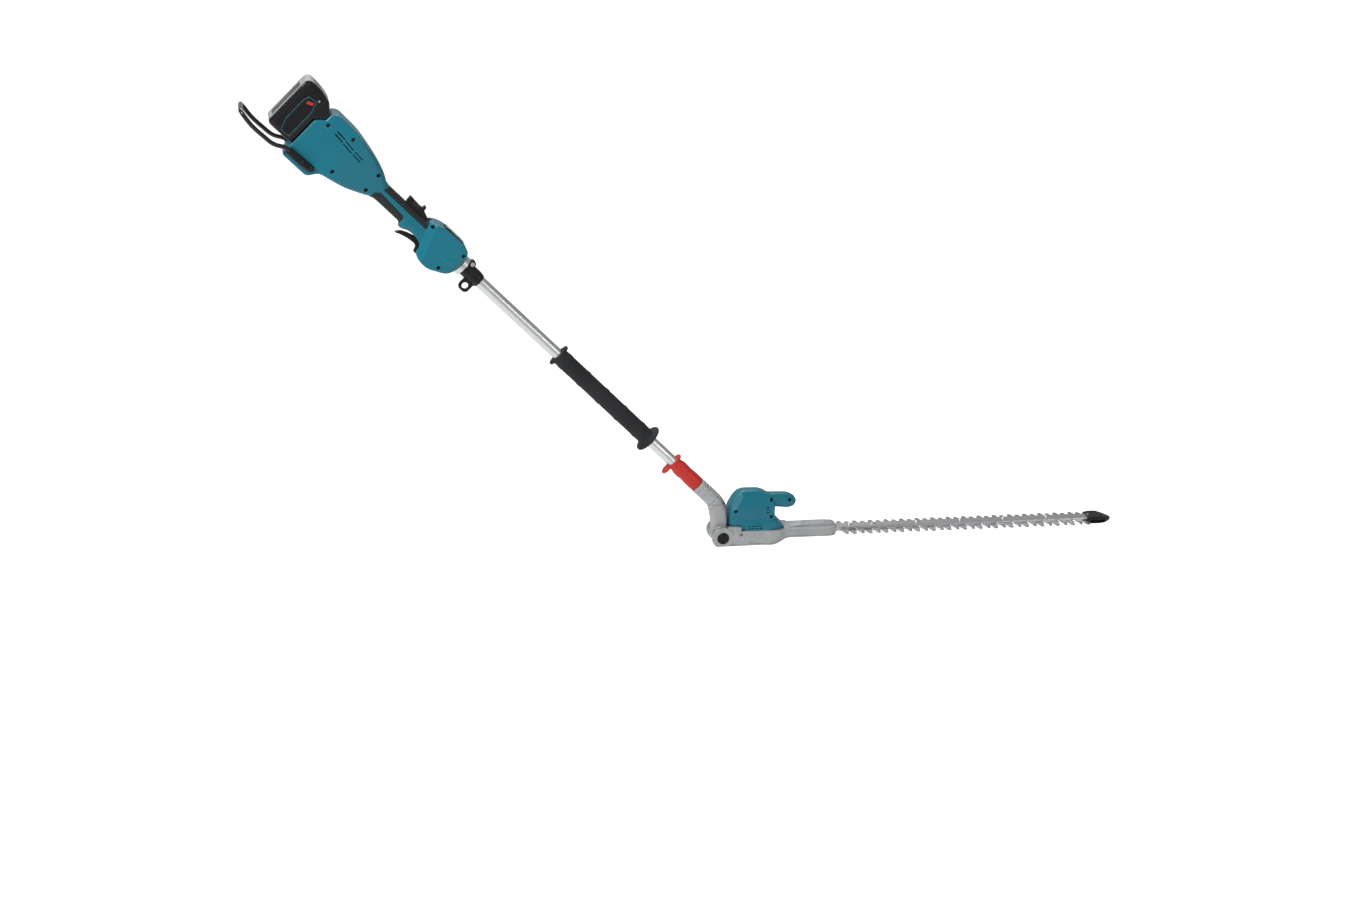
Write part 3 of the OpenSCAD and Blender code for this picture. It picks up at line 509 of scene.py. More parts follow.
def finish(name, colour, rough, metal=0.0, spot_scale=9.0, spot=0.12, grain=1500.0, grain_depth=0.02,
           wear_and_highlight=0.25, wear_and_highlight_colour=None, stretch=(1, 1, 1), rough_spread=0.12, coat=0.0, shine=0.5):
    """A named finish with colour variation, edges lightened as wear and as a painted highlight, a fine grain and
    uneven gloss.
    """
    made = bpy.data.materials.new(name)
    made.use_nodes = True
    made.diffuse_color = (*colour, 1)
    tree = made.node_tree
    tree.nodes.clear()
    where = node(tree, "ShaderNodeTexCoord").outputs["Object"]
    broad = noise(tree, where, spot_scale, 4.0, stretch)
    base = ramp(tree, broad, 0.3, 0.7, scaled(colour, 1 - spot), scaled(colour, 1 + spot))
    # edges lightened by pointiness: wear, and a painted highlight along every edge
    edge = node(tree, "ShaderNodeNewGeometry").outputs["Pointiness"]
    worn_and_lit = (*(wear_and_highlight_colour or scaled(colour, WORN_AND_LIT_SHARE)), 1)
    wear_and_highlight_mask = spread(tree, edge, 0, wear_and_highlight, *EDGE_WEAR_AND_HIGHLIGHT)
    mix = node(tree, "ShaderNodeMix", data_type="RGBA", Factor=wear_and_highlight_mask, A=base, B=worn_and_lit)
    fine = noise(tree, where, grain, 2.0, stretch)
    bump = node(tree, "ShaderNodeBump", Strength=0.6, Distance=grain_depth * MM * 10, Height=fine)
    smear = noise(tree, where, spot_scale * 5, 3.0, stretch)
    gloss = spread(tree, smear, max(0.03, rough - rough_spread), min(1.0, rough + rough_spread))
    shader = node(tree, "ShaderNodeBsdfPrincipled", Metallic=metal, Roughness=gloss, **{
        "Base Color": mix.outputs["Result"], "Normal": bump.outputs["Normal"], "Coat Weight": coat,
        "Coat Roughness": COAT_ROUGH, "Specular IOR Level": shine,
    })
    node(tree, "ShaderNodeOutputMaterial", Surface=shader.outputs["BSDF"])
    return name, made


# Stretch that draws the grain out along Y, as grinding lines across a blade do
ALONG_Y = (1, 0.05, 1)

# A colour given after the edge share is the lighter edge colour: wear and a painted highlight
MATERIALS = dict([
    finish("aluminium_tube", (0.62, 0.63, 0.635), 0.34, 1.0, 6, 0.04, 900, 0.006, 0.1),
    finish("teal_plastic", (0.002, 0.142, 0.202), 0.34, 0, 7, 0.07, 1300, 0.006, 0.35, (0.06, 0.36, 0.42),
           shine=0.4),
    finish("black_plastic", (0.007, 0.007, 0.008), 0.38, 0, 9, 0.15, 1300, 0.010, 0.25,
           (0.035, 0.035, 0.038), shine=0.25),
    finish("battery_plastic", (0.006, 0.006, 0.007), 0.20, 0, 8, 0.15, 1000, 0.003, 0.35,
           (0.08, 0.08, 0.09), coat=0.25, shine=0.25),
    finish("grey_plastic", (0.30, 0.31, 0.32), 0.45, 0, 9, 0.08, 1300, 0.008, 0.3),
    finish("soft_rubber", (0.021, 0.022, 0.024), 0.66, 0, 14, 0.22, 700, 0.03, 0.3, (0.05, 0.05, 0.052),
           shine=0.2),
    finish("red_plastic", (0.50, 0.024, 0.018), 0.40, 0, 9, 0.08, 1300, 0.010, 0.3, (0.68, 0.10, 0.08),
           shine=0.3),
    finish("cast_alloy", (0.37, 0.38, 0.385), 0.42, 0.55, 30, 0.10, 850, 0.012, 0.45, (0.62, 0.63, 0.63)),
    finish("tool_steel", (0.44, 0.45, 0.46), 0.36, 1.0, 22, 0.10, 1200, 0.004, 0.2, stretch=ALONG_Y,
           rough_spread=0.08),
    finish("plated_steel", (0.62, 0.62, 0.63), 0.32, 1.0, 12, 0.05, 900, 0.004, 0.1, rough_spread=0.04),
    finish("black_steel", (0.015, 0.015, 0.016), 0.34, 0.6, 40, 0.2, 900, 0.006, 0.3, (0.12, 0.12, 0.12)),
    finish("black_paint", (0.008, 0.008, 0.009), 0.16, 0, 12, 0.15, 500, 0.006, 0.2, (0.08, 0.08, 0.085),
           coat=0.4, shine=0.3),
    finish("laminations", (0.33, 0.33, 0.34), 0.45, 1.0, 60, 0.1, 1500, 0.02, 0.2, stretch=(0.05, 0.05, 1)),
    finish("copper_wire", (0.55, 0.22, 0.09), 0.35, 1.0, 60, 0.15, 1200, 0.04, 0.2, stretch=(1, 1, 0.1)),
    finish("magnet", (0.16, 0.165, 0.18), 0.5, 0.7, 60, 0.12, 1500, 0.01, 0.2),
    finish("circuit_potting", (0.02, 0.07, 0.04), 0.3, 0, 25, 0.15, 900, 0.01, 0.2),
    finish("cable_jacket", (0.015, 0.015, 0.016), 0.6, 0, 20, 0.15, 1500, 0.02, 0.2),
    finish("cell_wrap", (0.03, 0.10, 0.30), 0.35, 0, 25, 0.08, 1200, 0.005, 0.2),
])


# Every CAD node that stays in view takes its material slot's finish
for row in frame["record"]["subparts"]:
    mesh = frame["nodes"][row["node"]].data
    mesh.materials.clear()
    mesh.materials.append(MATERIALS[row["material_slot"]])


# ---------- head: motor cover ----------

COVER_SIDE = eased([
    (14, 46, 2), (41, 46, 2), (41, 36.2, 2), (143, 36.2, 3), (139, 43, 6), (129, 51, 8), (119, 62, 10),
    (117, 72, 8), (117, 92, 3), (112, 104, 6), (98, 116, 10), (82, 124, 8), (44, 125, 9),
    (26, 110, 8), (14, 80, 8),
])
COVER_PLAN = eased(mirrored([(13, 20, 4), (27, 30.5, 6), (108, 31.5, 14), (122, 28, 12), (143, 19, 10)]))
COVER_END = eased(mirrored([(30, 29.5, 2), (60, 28.4, 8), (88, 27.6, 6), (110, 23.5, 6), (125.5, 13, 6)]))
FLARE_SIDE = eased([
    (53, 36.2), (44, 60, 3), (70, 60, 6), (118, 56, 8), (131, 49, 8), (141, 40, 4), (143, 36.2),
])
FLARE_PLAN = eased(mirrored([(40, 33.2, 2), (106, 33.2, 16), (124, 29.5, 12), (144, 19, 6)]))
HANDLE_SIDE = eased([
    (90, 83, 4), (120, 82, 6), (140, 80, 8), (152, 78.5, 8), (165, 84, 8), (170, 93, 8), (167, 103, 8),
    (151, 112.5, 10), (120, 113.5, 4), (90, 113.5, 4),
])
HANDLE_HALF = 16.5
SHIELD = eased([(47, 62), (103, 61), (106, 78), (98, 92), (74, 99), (52, 97), (42, 84)], 9)
# Screws that join the halves: place, and the cover's half width there
COVER_SCREWS = [(27, 81, 28), (108, 104, 15), (152, 100, 15), (109, 66, 28)]
COVER_WALL = 3.0


def cover_body(g):
    y = np.abs(g.y)
    dome = both(both(g.side(COVER_SIDE), g.plan(COVER_PLAN), 4), outline(COVER_END, g.z, g.y), 4)
    # flat facet on each rear upper corner, wide at the top and running out above the rear screw
    facet = 0.62 * (0.658 * g.z - 0.752 * g.x - 37.5) + 0.78 * (y - 25.6)
    dome = both(dome, facet, 0.3)
    dome = raised(dome, g.side(SHIELD), 0.8, 1.6)
    flare = both(g.side(FLARE_SIDE), g.plan(FLARE_PLAN), 0.8)
    flare = both(flare, 0.52 * (g.z - 50.5) + 0.85 * (y - 33), 0.5)
    flare = both(flare, 0.70 * (50.5 - g.x - 0.4 * (g.z - 45)) + 0.71 * (y - 30.0), 0.5)
    handle = both(g.side(HANDLE_SIDE), y - HANDLE_HALF, 12)
    return either(either(dome, flare, 1.0), handle, 5)


def cover_half(g):
    body = cover_body(g)
    shell = less(half_of(body, g), both(body + COVER_WALL, 36 - g.z))
    shell = less(shell, both(both(body + COVER_WALL, 40 - g.z) - 0.01, g.box((44, 130))))
    # open underneath, over the gear case
    shell = less(shell, both(g.box(x=(43, 137), z=(30, 41)), g.plan(COVER_PLAN) + 4.2))
    for *spot, width in COVER_SCREWS:
        shell = raised(shell, g.rod(spot, 6.0), 0.5, 0.8)
        shell = either(shell, half_of(both(g.rod(spot, 6.2), body + 0.4), g), 0.4)
        shell = screw_hole(shell, g, spot, width, 4.2, 8)
    # vents, low and rear, and the two dimples
    for row in (0, 1):
        for k in range(4):
            x, z = 57 + 8.5 * k - 1.5 * row, 40.5 + 6 * row
            shell = less(shell, both(g.slot((x, z), (x + 5.5, z), 0.95), 20 - g.outer), 0.3)
    for row in range(3):
        z = 76.5 + 5.5 * row
        shell = less(shell, both(g.slot((98.5, z), (102.5, z), 1.1), 20 - g.outer), 0.3)
    shell = less(shell, both(g.slot((115.5, 59), (121, 55), 3.0), -body - 1.8), 0.4)
    return less(shell, both(g.rod((22, 63), 2.4), -body - 1.6), 0.4)


halves("cover_shell", "cover", ROW, (11, 173), 36, (33, 129), 0.85, cover_half, "head", "teal_plastic")


# ---------- head: gear case ----------

CASE_PLAN = eased(mirrored([
    (24, 33, 2), (48.5, 33, 0), (49.5, 32, 0), (96, 32, 16), (110, 35.4, 9), (127, 35.4, 12), (139, 29.2, 8),
    (149, 26.2, 6), (194, 26.2, 4), (200, 27.4, 4), (252, 27.4, 9), (267, 17, 6),
]))
CASE_SIDE = eased([
    (24, 4), (113, 4, 9), (148, 17, 6), (266, 17, 3), (268, 22, 3), (268, 30, 3), (262, 33, 3), (150, 33, 2),
    (142, 35.5, 2), (24, 35.5),
])
RIM_PLAN = eased(mirrored([(49, 33, 1), (104, 33, 12), (128, 31, 10), (150, 27, 6), (156, 27, 1)]))
LEDGE_PLAN = eased(mirrored([(150, 27.2, 1), (194, 27.2, 4), (200, 28.4, 4), (253, 28.4, 9), (267.5, 17, 6)]))
SPINE_SIDE = eased([
    (146, 30), (266, 30), (266, 34, 2), (258, 38.6, 4), (184, 38.6, 8), (168, 35.2, 8), (146, 34.5),
])
CHEEK_IN = 21.0
BOSS_R = 25.0
CAP_R = 13.1
CASE_BOLTS = [(45, 25), (148, 22), (231, 20)]
BAR_ANCHORS = [190, 245]
HINGE_SPOT = (0, HINGE_Z)


def gear_case(g):
    y = np.abs(g.y)
    body = both(g.side(CASE_SIDE), g.plan(CASE_PLAN), 1.3)
    body = either(body, both(g.side(SPINE_SIDE), y - 12.5, 2.0), 6)
    rim = both(both(g.box(z=(31.2, 35.6)), g.plan(RIM_PLAN)), g.x - 156, 0.7)
    ledge = both(g.box(z=(28.5, 32.5)), g.plan(LEDGE_PLAN), 0.7)
    body = either(either(body, rim, 0.6), ledge, 0.6)
    wall = both(g.side(eased([(28, 30), (41, 30), (41, 45.6, 2), (28, 45.6, 2)])), y - 33, 1.0)
    body = either(body, wall, 0.8)
    hub = both(g.rod(HINGE_SPOT, BOSS_R), between(y, CHEEK_IN, 33), 1.6)
    web_side = eased([(0, 1), (34, 1), (34, 45.6, 2), (13, 45.6, 4), (10, 38, 6)])
    web = both(g.side(web_side), between(y, CHEEK_IN, 30.8), 1.0)
    body = either(body, both(either(hub, web, 1.5), 2.05 - g.z), 1.5)
    body = less(body, both(g.rod(HINGE_SPOT, CAP_R), 26 - y), 0.8)
    body = less(body, g.rod(HINGE_SPOT, 6.05), 0.2)
    body = less(body, both(g.rod((41, 27), 3.4), 27.5 - y), 0.5)
    pocket = both(g.side(eased([(60, 6), (74, 6), (74, 11.5), (62, 11.5)], 1.5)), 31.0 - y)
    body = less(body, pocket, 0.4)
    # blade mouth, guide bar seat and screw holes
    body = less(body, both(g.box(y=(-12.8, 12.8), z=(15.9, 28.5)), 139 - g.x), 0.4)
    for x in BAR_ANCHORS:
        body = less(body, both(g.post(x, 0, 3.1), 36 - g.z), 0.2)
    for x, off in CASE_BOLTS:
        body = less(body, both(g.post(x, off, 2.1), g.z - 24))
    # rooms for the gears, and seats of the bearings
    body = less(body, g.box((58, 138), (-29, 29), (2, 31)))
    for x, r, floor in ((MOTOR_X, 9.6, 36.4), (CRANK_X, 9.6, 30), (MOTOR_X, 7, 30)):
        top = 50 if x == MOTOR_X else 37
        collar = both(g.post(x, 0, 12.3), between(g.z, 33, 42 if x == MOTOR_X else 38.4), 0.6)
        body = either(body, collar, 0.3) if r > 8 else body
        body = less(body, both(g.post(x, 0, r), g.box(z=(floor, top))))
    return body


def case_base(g):
    y = np.abs(g.y)
    plan = eased(mirrored([
        (-17, 33, 1), (96, 32, 16), (110, 34.6, 9), (127, 34.6, 12), (139, 28.8, 8), (149, 25.8, 6),
        (254, 26.2, 8), (266, 17, 6),
    ]))
    side = eased([
        (-15, 0), (115, 0, 8), (150, 13, 8), (262, 13, 3), (266, 17), (148.3, 17, 6), (113.5, 4, 9), (28, 4),
        (28, 2), (-17.3, 2),
    ])
    plate = both(g.side(side), g.plan(plan), 0.8)
    plate = less(plate, both(y - CHEEK_IN, g.x - 28), 0.4)
    seat = both(g.post(CRANK_X, 0, 12.5), g.box(z=(2, 12)), 0.6)
    plate = less(either(plate, seat, 0.5), both(g.post(CRANK_X, 0, 9.6), 5 - g.z))
    # grooves across the underside, under the gear room
    for x in (66, 76, 86):
        plate = less(plate, both(bar(g.x, y, (x, 0), (x, 17), 1.4), g.z - 1.2), 0.3)
    for x, off in CASE_BOLTS:
        floor = 0 if x < 100 else 13
        plate = less(plate, both(g.post(x, off, 4.0), g.z - floor - 2.1), 0.4)
        plate = less(plate, g.post(x, off, 2.2))
    return plate


def cap(g):
    y = np.abs(g.y)
    r = np.hypot(g.x, g.z - HINGE_Z)
    turn = np.arctan2(g.z - HINGE_Z, g.x)
    body = both(r - 12.7, between(y, 30.15, 34.3), 0.9)
    body = less(body, both(np.abs(r - 9.7) - 0.8, 33.3 - y), 0.3)
    body = less(body, both(r - 6.4, 32.6 - y), 0.5)
    hexagon = r * np.cos((turn + 0.2) % (math.pi / 3) - math.pi / 6) - 3.6
    return either(body, both(hexagon, between(y, 31.6, 33.6), 0.3), 0.2)


moulded(
    "gear_case_casting", ROW, (-28, -37, -2), (271, 37, 48), 0.9, gear_case,
    "head", "cast_alloy", "gear_case",
)
moulded(
    "case_base_plate", ROW, (-20, -36, -2), (269, 36, 19), 0.8, case_base,
    "head", "cast_alloy", "case_base",
)
moulded(
    "hinge_cap_pair", ROW, (-14.5, -36, HINGE_Z - 14.5), (14.5, 36, HINGE_Z + 14.5), 0.55, cap,
    "head", "black_plastic", "hinge_caps",
)


# ---------- elbow arm ----------

ARM_SIDE = eased([
    (-125, -16.8), (-72, -17, 8), (-37, -39, 8), (-16, -57, 6), (4, -60, 2), (10, -40, 2), (3, -30, 8),
    (-33, 5, 8), (-44, 13, 6), (-62, 17, 5), (-125, 16.8),
])
ARM_BEND = (-52, 0)
ARM_LEAN = (0.654, 0.756)
ARM_HALF = 20.8
HUB = (0, -POLE_OFFSET)
ARM_CAVITY = np.array([
    (-18, -39.5), (-18, -31), (-36, -11.5), (-60, -11.5), (-126, -11.5), (-126, -16.2), (-55, -16.4),
    (-33.5, -30), (-33.5, -39),
], float)
ARM_BOLTS = [(-52, 11), (-30, -17)]


def arm_shape(g):
    y = np.abs(g.y)
    lower = (g.x - ARM_BEND[0]) * ARM_LEAN[0] + (g.z - ARM_BEND[1]) * ARM_LEAN[1]
    across = -either(-g.z, -lower, 4)
    along = (g.x - ARM_BEND[0]) * ARM_LEAN[1] - (g.z - ARM_BEND[1]) * ARM_LEAN[0]
    width = np.interp(along, [-30, 12, 50], [17.6, 18.6, ARM_HALF - 0.2])
    body = both(g.side(ARM_SIDE), (y + 0.20 * np.abs(across - 4) - width) * 0.98, 1.0)
    body = both(body, 0.64 * np.abs(across) + 0.77 * (y - width) - 5.6, 1.2)
    hub = both(g.rod(HUB, 23), y - ARM_HALF, 1.6)
    body = either(body, hub, 2)
    for x in (-113, -98.5, -73):
        body = groove(body, g.x - x, 1.5, 1.0)
    body = groove(body, along + 6, 1.5, 1.0)
    body = groove(body, either(np.abs(along - 18) - 24, np.abs(across - 12.5) - 0.5), 1.0, 0.5)
    for spot in ((-107, 15), (-74, 15)):
        body = less(body, both(g.slot(spot, (spot[0] + 3, spot[1]), 2.2), 9 - y), 0.3)
    return body


def arm_half(g):
    body = half_of(arm_shape(g), g, 0.1, 0.4)
    body = less(body, both(g.bore(0.1), g.x + 62))
    # gap of the index disc, and the inside of the casting
    body = less(body, both(g.rod(HUB, 21.2), g.box(y=(-4.5, 4.5))))
    body = less(body, both(g.box(y=(-4.4, 4.4)), g.side(ARM_CAVITY)))
    body = less(body, g.rod(HUB, 6.1))
    body = less(body, both(disc(g.y, g.z, (6, 2), 4.2), g.box((-63, -48))))
    for spot in ARM_BOLTS:
        body = less(body, both(g.rod(spot, 2.15), -12.4 - g.y))
        body = less(body, both(g.rod(spot, 4.4), 16.9 - g.y), 0.3)
    return body


halves(
    "arm_half_casting", "arm_half", POLE, (-128, 27), 24, (-71, 21), 0.85, arm_half, "root", "cast_alloy",
)


# ---------- rear housing ----------

HOUSING_SIDE = eased([
    (-1277, -79, 4), (-1214, -79, 7), (-1199, -57, 8), (-1142, -46, 14), (-1104, -31, 14), (-1086, -22, 10),
    (-1011, -22, 6), (-1005, -31, 4), (-998, -30, 4), (-982, -22, 8), (-965, -21, 8), (-951, -25, 8),
    (-944, -34, 5), (-945, -42, 5), (-936, -50, 9), (-908, -53, 12), (-868, -33, 10), (-858, -18, 7),
    (-857, 16, 6), (-866, 30, 8), (-881, 36, 7), (-938, 34.5, 9), (-968, 24, 10), (-971, 17, 4),
    (-1074, 17, 12), (-1087, 20, 14), (-1098, 28, 10), (-1124, 38, 14), (-1150, 45, 16), (-1196, 54, 16),
    (-1250, 55, 9), (-1262, 46, 7), (-1262, 31, 3), (-1280, 15, 3), (-1280, -60, 7),
])
HOUSING_PLAN = eased(mirrored([
    (-1280, REAR_HALF, 3), (-1190, REAR_HALF, 30), (-1092, 22.5, 22), (-1072, 18.5, 12), (-966, 18.5, 2),
    (-949, 33, 2), (-870, 33, 7), (-857, 26, 4),
]))
UPPER_RUBBER = eased([(-1081, 5), (-961, 5), (-968, 22), (-970, 40), (-1072, 40), (-1074, 17)], 2.5)
LOWER_RUBBER = eased([(-1092, -40), (-1006, -40), (-1013, -7), (-1080, -3), (-1090, -10)], 3)
RUBBER_T = 2.2
WALL = 3.0
LEVER_PIN = (-972, 13)
TRIGGER_PIN = (-930, -14)
PIN_R = 2.05
# Screws that join the halves: place, and the housing's half width there
HOUSING_SCREWS = [
    (-1252, 26, 42), (-1197, 39, 42), (-1183, -36, 40), (-1109, 20, 25), (-1107, -19, 25), (-957, 19, 26),
    (-870, 19, 33), (-891, -34, 33),
]
UPPER_VENTS = [((-1230, 30), (-1209, 28)), ((-1205, 27), (-1182, 24)), ((-1177, 24), (-1156, 22))]


def housing_body(g):
    y = np.abs(g.y)
    # the flank ahead of the handle leans forward towards the underside
    slant = 0.40 * np.clip(16 - g.z, -12, 60) * np.interp(g.x, [-1010, -990, -935, -895], [0, 1, 1, 0])
    plan = outline_in(HOUSING_PLAN, g.x - slant, y)
    stations = [-1270, -1190, -1100, -1070, -985, -968, -940, -880, -858]
    soft = np.interp(g.x, stations, [5, 7, 12, 15, 15, 5, 3, 5, 8])
    body = both(g.side(HOUSING_SIDE), plan, soft)
    # the sides draw in a little towards the upper and lower edges
    crown = (y + 0.0009 * (g.z + 8) ** 2 * np.interp(g.x, [-1280, -1150, -1090], [1, 1, 0]) - REAR_HALF)
    body = both(body, crown, 4)
    # low ridge on each side of the switch housing
    ridge = g.slot((-905, -11), (-876, -7), 5)
    return raised(body, ridge + 0.04 * (g.z + 10) ** 2, 0.8, 5)


def housing_openings(g):
    """Room for the battery rail, the trigger, the lock-off lever, the switch panel and the tube."""
    boxes = [
        g.box((-1290, -1265), (-30.2, 30.2), (-50.2, 12.2)), g.box((-1003, -928), (-7.6, 7.6), (-60, -14)),
        g.box((-1033, -962), (-7.4, 7.4), (8, 45)), g.box((-936.2, -883.8), (-15.2, 15.2), (31, 45)),
    ]
    tube = both(g.bore(0.1), -910 - g.x)
    return reduce(np.minimum, boxes + [tube])


def housing_half(g):
    body = housing_body(g)
    rubber = np.minimum(g.side(UPPER_RUBBER), g.side(LOWER_RUBBER))
    for *spot, _ in HOUSING_SCREWS:
        body = raised(body, g.rod(spot, 6.2), 0.5, 0.8)
    skin = np.minimum(less(body, rubber), body + RUBBER_T + 0.2)
    hollow = np.minimum(both(body + WALL, WALL - rubber), body + WALL + RUBBER_T)
    shell = half_of(less(skin, hollow), g)
    for *spot, _ in HOUSING_SCREWS:
        shell = either(shell, half_of(both(g.rod(spot, 6.3), body + 1), g), 0.4)
    shell = either(shell, half_of(both(g.box(x=(-891, -886)), body + 1), g), 0.4)
    # baffle behind the vents, on each side of the controller
    sheet = both(between(g.outer, 24.5, 26.5), body + 1)
    baffle = both(g.box(x=(-1246, -1145), z=(4, 64)), sheet)
    shell = either(less(shell, housing_openings(g), 0.4), baffle, 0.4)
    for *spot, width in HOUSING_SCREWS:
        shell = screw_hole(shell, g, spot, width, 4.3, 9)
    for start, end in UPPER_VENTS:
        for drop in (0, 7):
            a, b = ((p[0], p[1] - drop) for p in (start, end))
            shell = less(shell, both(g.slot(a, b, 1.2), 28.5 - g.outer), 0.3)
    for pin in (LEVER_PIN, TRIGGER_PIN):
        shell = less(shell, both(g.rod(pin, 2.5), g.outer - 9.8))
    return shell


def rubber_half(g):
    body = housing_body(g)
    zone = np.minimum(g.side(UPPER_RUBBER), g.side(LOWER_RUBBER)) + 0.2
    skin = both(both(body - 0.35, zone, 0.8), -body - RUBBER_T, 0.2)
    # shallow ribs for grip
    ribs = np.cos((g.x - g.z * 0.5) * (2 * math.pi / 6)) * 0.22
    skin = skin + np.where(body > -0.9, ribs * np.clip(-zone / 3, 0, 1), 0)
    skin = half_of(skin, g, 0.1, 0.3)
    return less(skin, housing_openings(g), 0.4)


halves(
    "housing_shell", "housing", POLE, (-1283, -853), 44.5, (-82, 59), 1.25, housing_half,
    "root", "teal_plastic",
)
halves(
    "rubber_skin", "grip_rubber", POLE, (-1097, -957), 29, (-42, 36), 0.7, rubber_half,
    "root", "soft_rubber",
)


# ---------- guard loop ----------

GUARD_R = 4.5


def build_guard():
    half = POLE.span("guard_loop")[1][1] - GUARD_R
    leg = [(-1230, -60, 4), (-1283, -62, 9), (-1304, -75, 12), (-1358, -77, 16), (-1393, -70.5, 16)]
    path = [(x, half, z) for x, z, _ in leg] + [(x, -half, z) for x, z, _ in reversed(leg)]
    cuts = [cut for _, _, cut in leg + leg[::-1]]
    swept("guard_loop_bar", POLE, path, cuts, GUARD_R, "root", "black_paint", "guard_loop")

    strip = eased([
        (-1278, -69, 3), (-1240, -69, 8), (-1216, -65.5, 5), (-1211, -58, 5), (-1217, -52.5, 5),
        (-1240, -53, 8), (-1278, -55, 3),
    ])

    def plates(g):
        y = np.abs(g.y)
        body = both(g.side(strip), between(y, REAR_HALF + 0.1, REAR_HALF + 10), 1.8)
        body = raised(body, g.side(strip) + 3.2, 0.6, 1.2)
        for x, z in ((-1241, -61), (-1221, -59)):
            body = less(body, both(g.rod((x, z), 5.0), REAR_HALF + 9.3 - y), 0.4)
            body = less(body, g.rod((x, z), 2.1))
        line = np.interp(g.x, [-1304, -1283, -1230], [-75, -62, -60])
        tube = np.hypot(y - half, g.z - line) * 0.99 - 4.55
        return less(body, both(tube, g.x + 1225.5), 0.3)

    moulded(
        "guard_bracket_plates", POLE, (-1281, -56, -72), (-1208, 56, -49), 0.8, plates,
        "root", "black_plastic", "guard_brackets",
    )


# ---------- battery ----------

BATTERY_SIDE = eased([
    (-1342, 61, 6), (-1342, -46, 4), (-1335, -52, 5), (-1290, -52, 3), (-1282, -46, 3), (-1282, 16, 2),
    (-1264.5, 32, 4), (-1264.5, 43, 5), (-1281, 61, 6), (-1312, 68.5, 10), (-1334, 68.5, 7),
])
BATTERY_END = eased(mirrored([(-52.5, 37, 4), (-44, 41, 6), (58, 41, 8), (69, 34, 6)]))
LABEL = eased([
    (-1318, 42), (-1299, 44.5), (-1292.5, 20), (-1292.5, -43), (-1314, -43.5), (-1322, -20), (-1322, 30),
], 2)
MARK = eased([(-1314, 34), (-1302, 39), (-1300.5, 33), (-1312.5, 28)], 1)


def battery_body(g):
    body = both(g.side(BATTERY_SIDE), outline(BATTERY_END, g.z, g.y), 3.2)
    y = np.abs(g.y)
    # parting line of the lid, and the step round the foot
    body = groove(body, g.x + 1288.5, 0.9, 0.7)
    body = raised(body, g.x + 1334.5, 0.5, 0.8)
    body = raised(body, both(g.side(LABEL) - 2.2, 30 - y), 0.5, 1.2)
    for z in (50, 54.5, 59):
        body = groove(body, both(np.abs(g.z - z) - 0.5, g.x + 1318), 1.0, 0.5)
    return body


def battery_case(g):
    body = battery_body(g)
    # solid towards the rail, apart from the rail's slot and the latch's pocket
    foot = np.minimum(g.box((-1298, -1200), z=(-80, 28)), g.box((-1280, -1200), z=(28, 80)))
    body = less(body, both(body + 2.5, -foot))
    body = less(body, g.box((-1295.3, -1289.7), (-28.3, 28.3), (-80, 10.3)), 0.4)
    body = less(body, g.box((-1292, -1270), (-22.3, 22.3), (-80, 10.3)), 0.4)
    return less(body, g.box((-1276.3, -1250), (-14.3, 14.3), (36.5, 56.3)), 0.4)


def battery_patch(zone, proud, depth, ease):
    """A thin patch on one side of the battery, standing proud of it and reaching into it."""
    def shape(g):
        body = battery_body(g)
        return both(both(both(body - proud, -body - depth), zone(g), ease), 20 - g.outer)
    return shape


def build_battery():
    moulded(
        "battery_shell", POLE, (-1345.4, -44.6, -55.3), (-1260, 44.8, 72.5), 1.03, battery_case,
        "battery", "battery_plastic", "battery_case",
    )

    # grey band along the edges of the glossy black rear face: a painted reflection, not a grey part
    def painted_reflection_band(g):
        body = battery_body(g)
        band = both(body - 0.5, -body - 0.5, 0.2)
        region = both(both(np.abs(g.y) - 33, g.x + 1327), -44 - g.z, 4)
        frame_cut = both(both(np.abs(g.y) - 25, g.z - 44), -36 - g.z, 4)
        return less(both(band, region, 0.4), frame_cut, 0.4)

    moulded(
        "battery_rear_painted_reflection", POLE, (-1345, -36, -48), (-1322, 36, 72), 0.6, painted_reflection_band,
        "battery", "grey_plastic",
    )
    # patches on each side: colour, how far each stands out and reaches in, and its edge
    patches = {
        "panel": ("black_plastic", lambda g: g.side(LABEL) + 1.2, 0.25, 0.3, 0.2),
        "border": ("teal_plastic", lambda g: np.abs(g.side(LABEL) + 0.6) - 0.45, 0.45, 0.3, 0.1),
        "mark": ("red_plastic", lambda g: g.side(MARK), 0.55, 0, 0.1),
        "dot": ("grey_plastic", lambda g: g.rod((-1297, 48.5), 2.2), 0.8, 0, 0.4),
    }
    for word, half in (("left", -1), ("right", 1)):
        y = sorted((38 * half, 43.5 * half))
        for piece, (slot, *look) in patches.items():
            moulded(
                f"battery_{word}_{piece}", POLE, (-1324, y[0], -47), (-1288, y[1], 53), 0.45,
                battery_patch(*look), "battery", slot, half=half,
            )


# ---------- controls ----------

